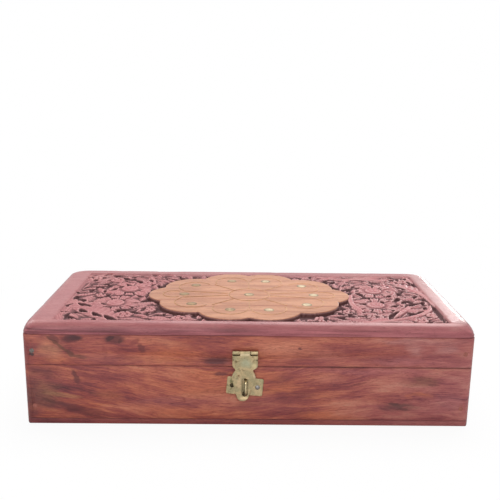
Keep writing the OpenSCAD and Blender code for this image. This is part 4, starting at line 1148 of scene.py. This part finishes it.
# Lighter and darker patches on the hasp, laid out like the figures of the wood; the strips at the knuckle's
# top and at the tip are painted highlights.
HASP_MARKS = [
    (rgb(166, 168, 142), LOOP_X + 0.6, 38.3, 4.4, 3.6, 0, 0.8),
    (rgb(84, 68, 44), LOOP_X - 4.9, 39.2, 1.5, 1.1, 0, 0.8),
    # painted highlight at the tip
    (rgb(232, 206, 160), LOOP_X - 0.4, 17.6, 4.0, 1.7, 0, 0.9),
    (rgb(92, 92, 60), LOOP_X - 7.4, 26.6, 1.6, 2.6, 0, 0.8),
    (rgb(158, 160, 122), LOOP_X + 9, 28.5, 3, 2.4, 0, 0.6),
    (rgb(98, 58, 40), LOOP_X - 3.4, 31, 0.9, 0.8, 0, 0.8),
    (rgb(206, 178, 142), LOOP_X - 3.2, 27, 1.6, 5, -12, 0.7),
    # painted highlight along the top of the knuckle
    (rgb(226, 206, 168), LOOP_X, 43.2, 8, 1.1, 0, 0.7),
    (rgb(206, 190, 148), LOOP_X + 5, 37, 1.8, 2.6, 20, 0.7),
    (rgb(214, 190, 158), LOOP_X + 5.6, 31, 1.4, 3, 0, 0.6),
]
HASP_BRASS = brass("hasp_brass_aged", rgb(200, 180, 142), rgb(152, 132, 96), rgb(92, 78, 52), 0.38,
                   marks=HASP_MARKS)
LOOP_BRASS = brass("loop_brass_aged", rgb(226, 210, 172), rgb(190, 170, 128), rgb(110, 94, 64), 0.3, LOOP_X)
HINGE_BRASS = brass("hinge_brass_aged", rgb(190, 162, 110), rgb(146, 120, 78), rgb(90, 72, 48), 0.35)
DISC_BRASS = inlay_metal("disc_brass", rgb(160, 134, 100), rgb(212, 194, 162), 0.38)
LINE_BRASS = inlay_metal("line_brass", rgb(172, 136, 100), rgb(198, 160, 126), 0.5)
domed_discs(DISC_BRASS)
STEEL = steel("nail_steel")
STAPLE_STEEL = steel("staple_nail_steel", LOOP_X)
FILLED_NAIL = filled_nail()

for node, body, voxel, material in [
    ("hasp_leaf", "hasp", 0.14, HASP_BRASS), ("hasp_plate", "lid", 0.14, HASP_BRASS),
    ("staple_plate", "base", 0.16, HASP_BRASS), ("staple_loop", "base", 0.14, LOOP_BRASS),
]:
    soft_metal(node, body, material, voxel)

# Nodes that stay as the frame brings them, with a material of this script.
for material, nodes in [
    (HINGE_BRASS, ["hinge_left_base_leaf", "hinge_right_base_leaf", "hinge_left_lid_leaf",
                   "hinge_right_lid_leaf"]),
    (LINE_BRASS, ["inlay_lines"]), (HASP_BRASS, ["hasp_pin"]), (STAPLE_STEEL, ["staple_nails"]),
    (FILLED_NAIL, ["base_corner_nails", "lid_corner_nails"]),
    (STEEL, ["hinge_left_pin", "hinge_right_pin", "base_bottom_nails", "base_hinge_nails", "lid_hinge_nails",
             "hasp_nails"]),
]:
    for node in nodes:
        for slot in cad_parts[node].material_slots:
            slot.material = material


# ------------ camera, light and stage

CAMERA_AT = Vector((-5.34, -407.0, 183.4)) * MM
CAMERA_DOWN, CAMERA_YAW, CAMERA_ROLL = math.radians(13.10), math.radians(0.782), math.radians(0.805)
CAMERA_LENS, CAMERA_SENSOR, CAMERA_NEAR = 48.5, 36, 0.01

WHITE = (1, 1, 1, 1)
WORLD_LIGHT = 0.5       # strength of the world for light; it is 1 where the world is seen
FLOOR_SIZE = 6
FLOOR_PAINT = (0.86, 0.86, 0.86, 1)
# How much of the floor's look is plain white near the box and away from it, and where that changes.
FLOOR_WHITE, FLOOR_FADE = (0.93, 1.0), (0.12, 0.3)
# Area lamps as name, place, target, size and power, in metres and watts.
LAMPS = [
    ("key", (0.1, 0.25, 0.9), (0, 0, 0.03), (0.7, 0.5), 7.0),
    ("right_window", (0.54, 0.94, 0.23), (0.12, 0, 0.06), (0.22, 0.12), 1.6),
    ("left_window", (-0.7, 0.5, 0.52), (-0.12, 0, 0.06), (0.2, 0.2), 1.0),
    ("front_fill", (-0.3, -0.9, 0.4), (0, 0, 0.03), (0.8, 0.6), 2.1),
]


def add_camera():
    """The camera of the photo, looking down, turned a little to the right and tilted."""
    turns = ((-CAMERA_YAW, "Z"), (math.pi / 2 - CAMERA_DOWN, "X"), (CAMERA_ROLL, "Z"))
    yaw, pitch, roll = [Matrix.Rotation(angle, 4, axis) for angle, axis in turns]
    data = bpy.data.cameras.new("camera")
    data.lens = CAMERA_LENS
    data.sensor_width = CAMERA_SENSOR
    data.clip_start = CAMERA_NEAR
    camera = bpy.data.objects.new("camera", data)
    camera.matrix_world = Matrix.Translation(CAMERA_AT) @ yaw @ pitch @ roll
    bpy.context.scene.collection.objects.link(camera)
    bpy.context.scene.camera = camera


def add_lamp(name, place, target, size, power):
    data = bpy.data.lights.new(name, "AREA")
    data.shape = "RECTANGLE"
    data.size, data.size_y = size
    data.energy = power
    lamp = bpy.data.objects.new(name, data)
    lamp.location = place
    lamp.rotation_euler = (Vector(target) - Vector(place)).to_track_quat("-Z", "Y").to_euler()
    bpy.context.scene.collection.objects.link(lamp)


def add_world():
    world = bpy.data.worlds.new("studio")
    bpy.context.scene.world = world
    world.use_nodes = True
    n = Nodes(world.node_tree)
    seen = n.seen_by("Is Camera Ray", "Is Glossy Ray", "Is Transmission Ray")
    strength = n.node("MapRange", {"Value": seen, "To Min": WORLD_LIGHT, "To Max": 1.0}).outputs[0]
    background = n.tree.nodes["Background"]
    n.put(background.inputs["Color"], WHITE)
    n.put(background.inputs["Strength"], strength)


def add_floor():
    """A floor that is painted for light, and nearly or wholly plain white for the camera."""
    bpy.ops.mesh.primitive_plane_add(size=FLOOR_SIZE, location=(0, 0, 0))
    floor = bpy.context.object
    floor.name = "floor"
    material = bpy.data.materials.new("floor_white")
    material.use_nodes = True
    n = Nodes(material.node_tree)
    n.tree.nodes.clear()
    sockets = {"Value": n.length(n.place()), "From Min": FLOOR_FADE[0], "From Max": FLOOR_FADE[1],
               "To Min": FLOOR_WHITE[0], "To Max": FLOOR_WHITE[1]}
    fade = n.node("MapRange", sockets).outputs[0]
    share = n.times(n.seen_by("Is Camera Ray"), fade)
    paint = n.node("BsdfDiffuse", {"Color": FLOOR_PAINT}).outputs[0]
    glow = n.node("Emission", {"Color": WHITE, "Strength": 1.0}).outputs[0]
    both = n.node("MixShader", {0: share, 1: paint, 2: glow}).outputs[0]
    n.node("OutputMaterial", {"Surface": both})
    floor.data.materials.append(material)


add_camera()
add_world()
add_floor()
for lamp in LAMPS:
    add_lamp(*lamp)

bpy.context.scene.view_settings.view_transform = "Standard"
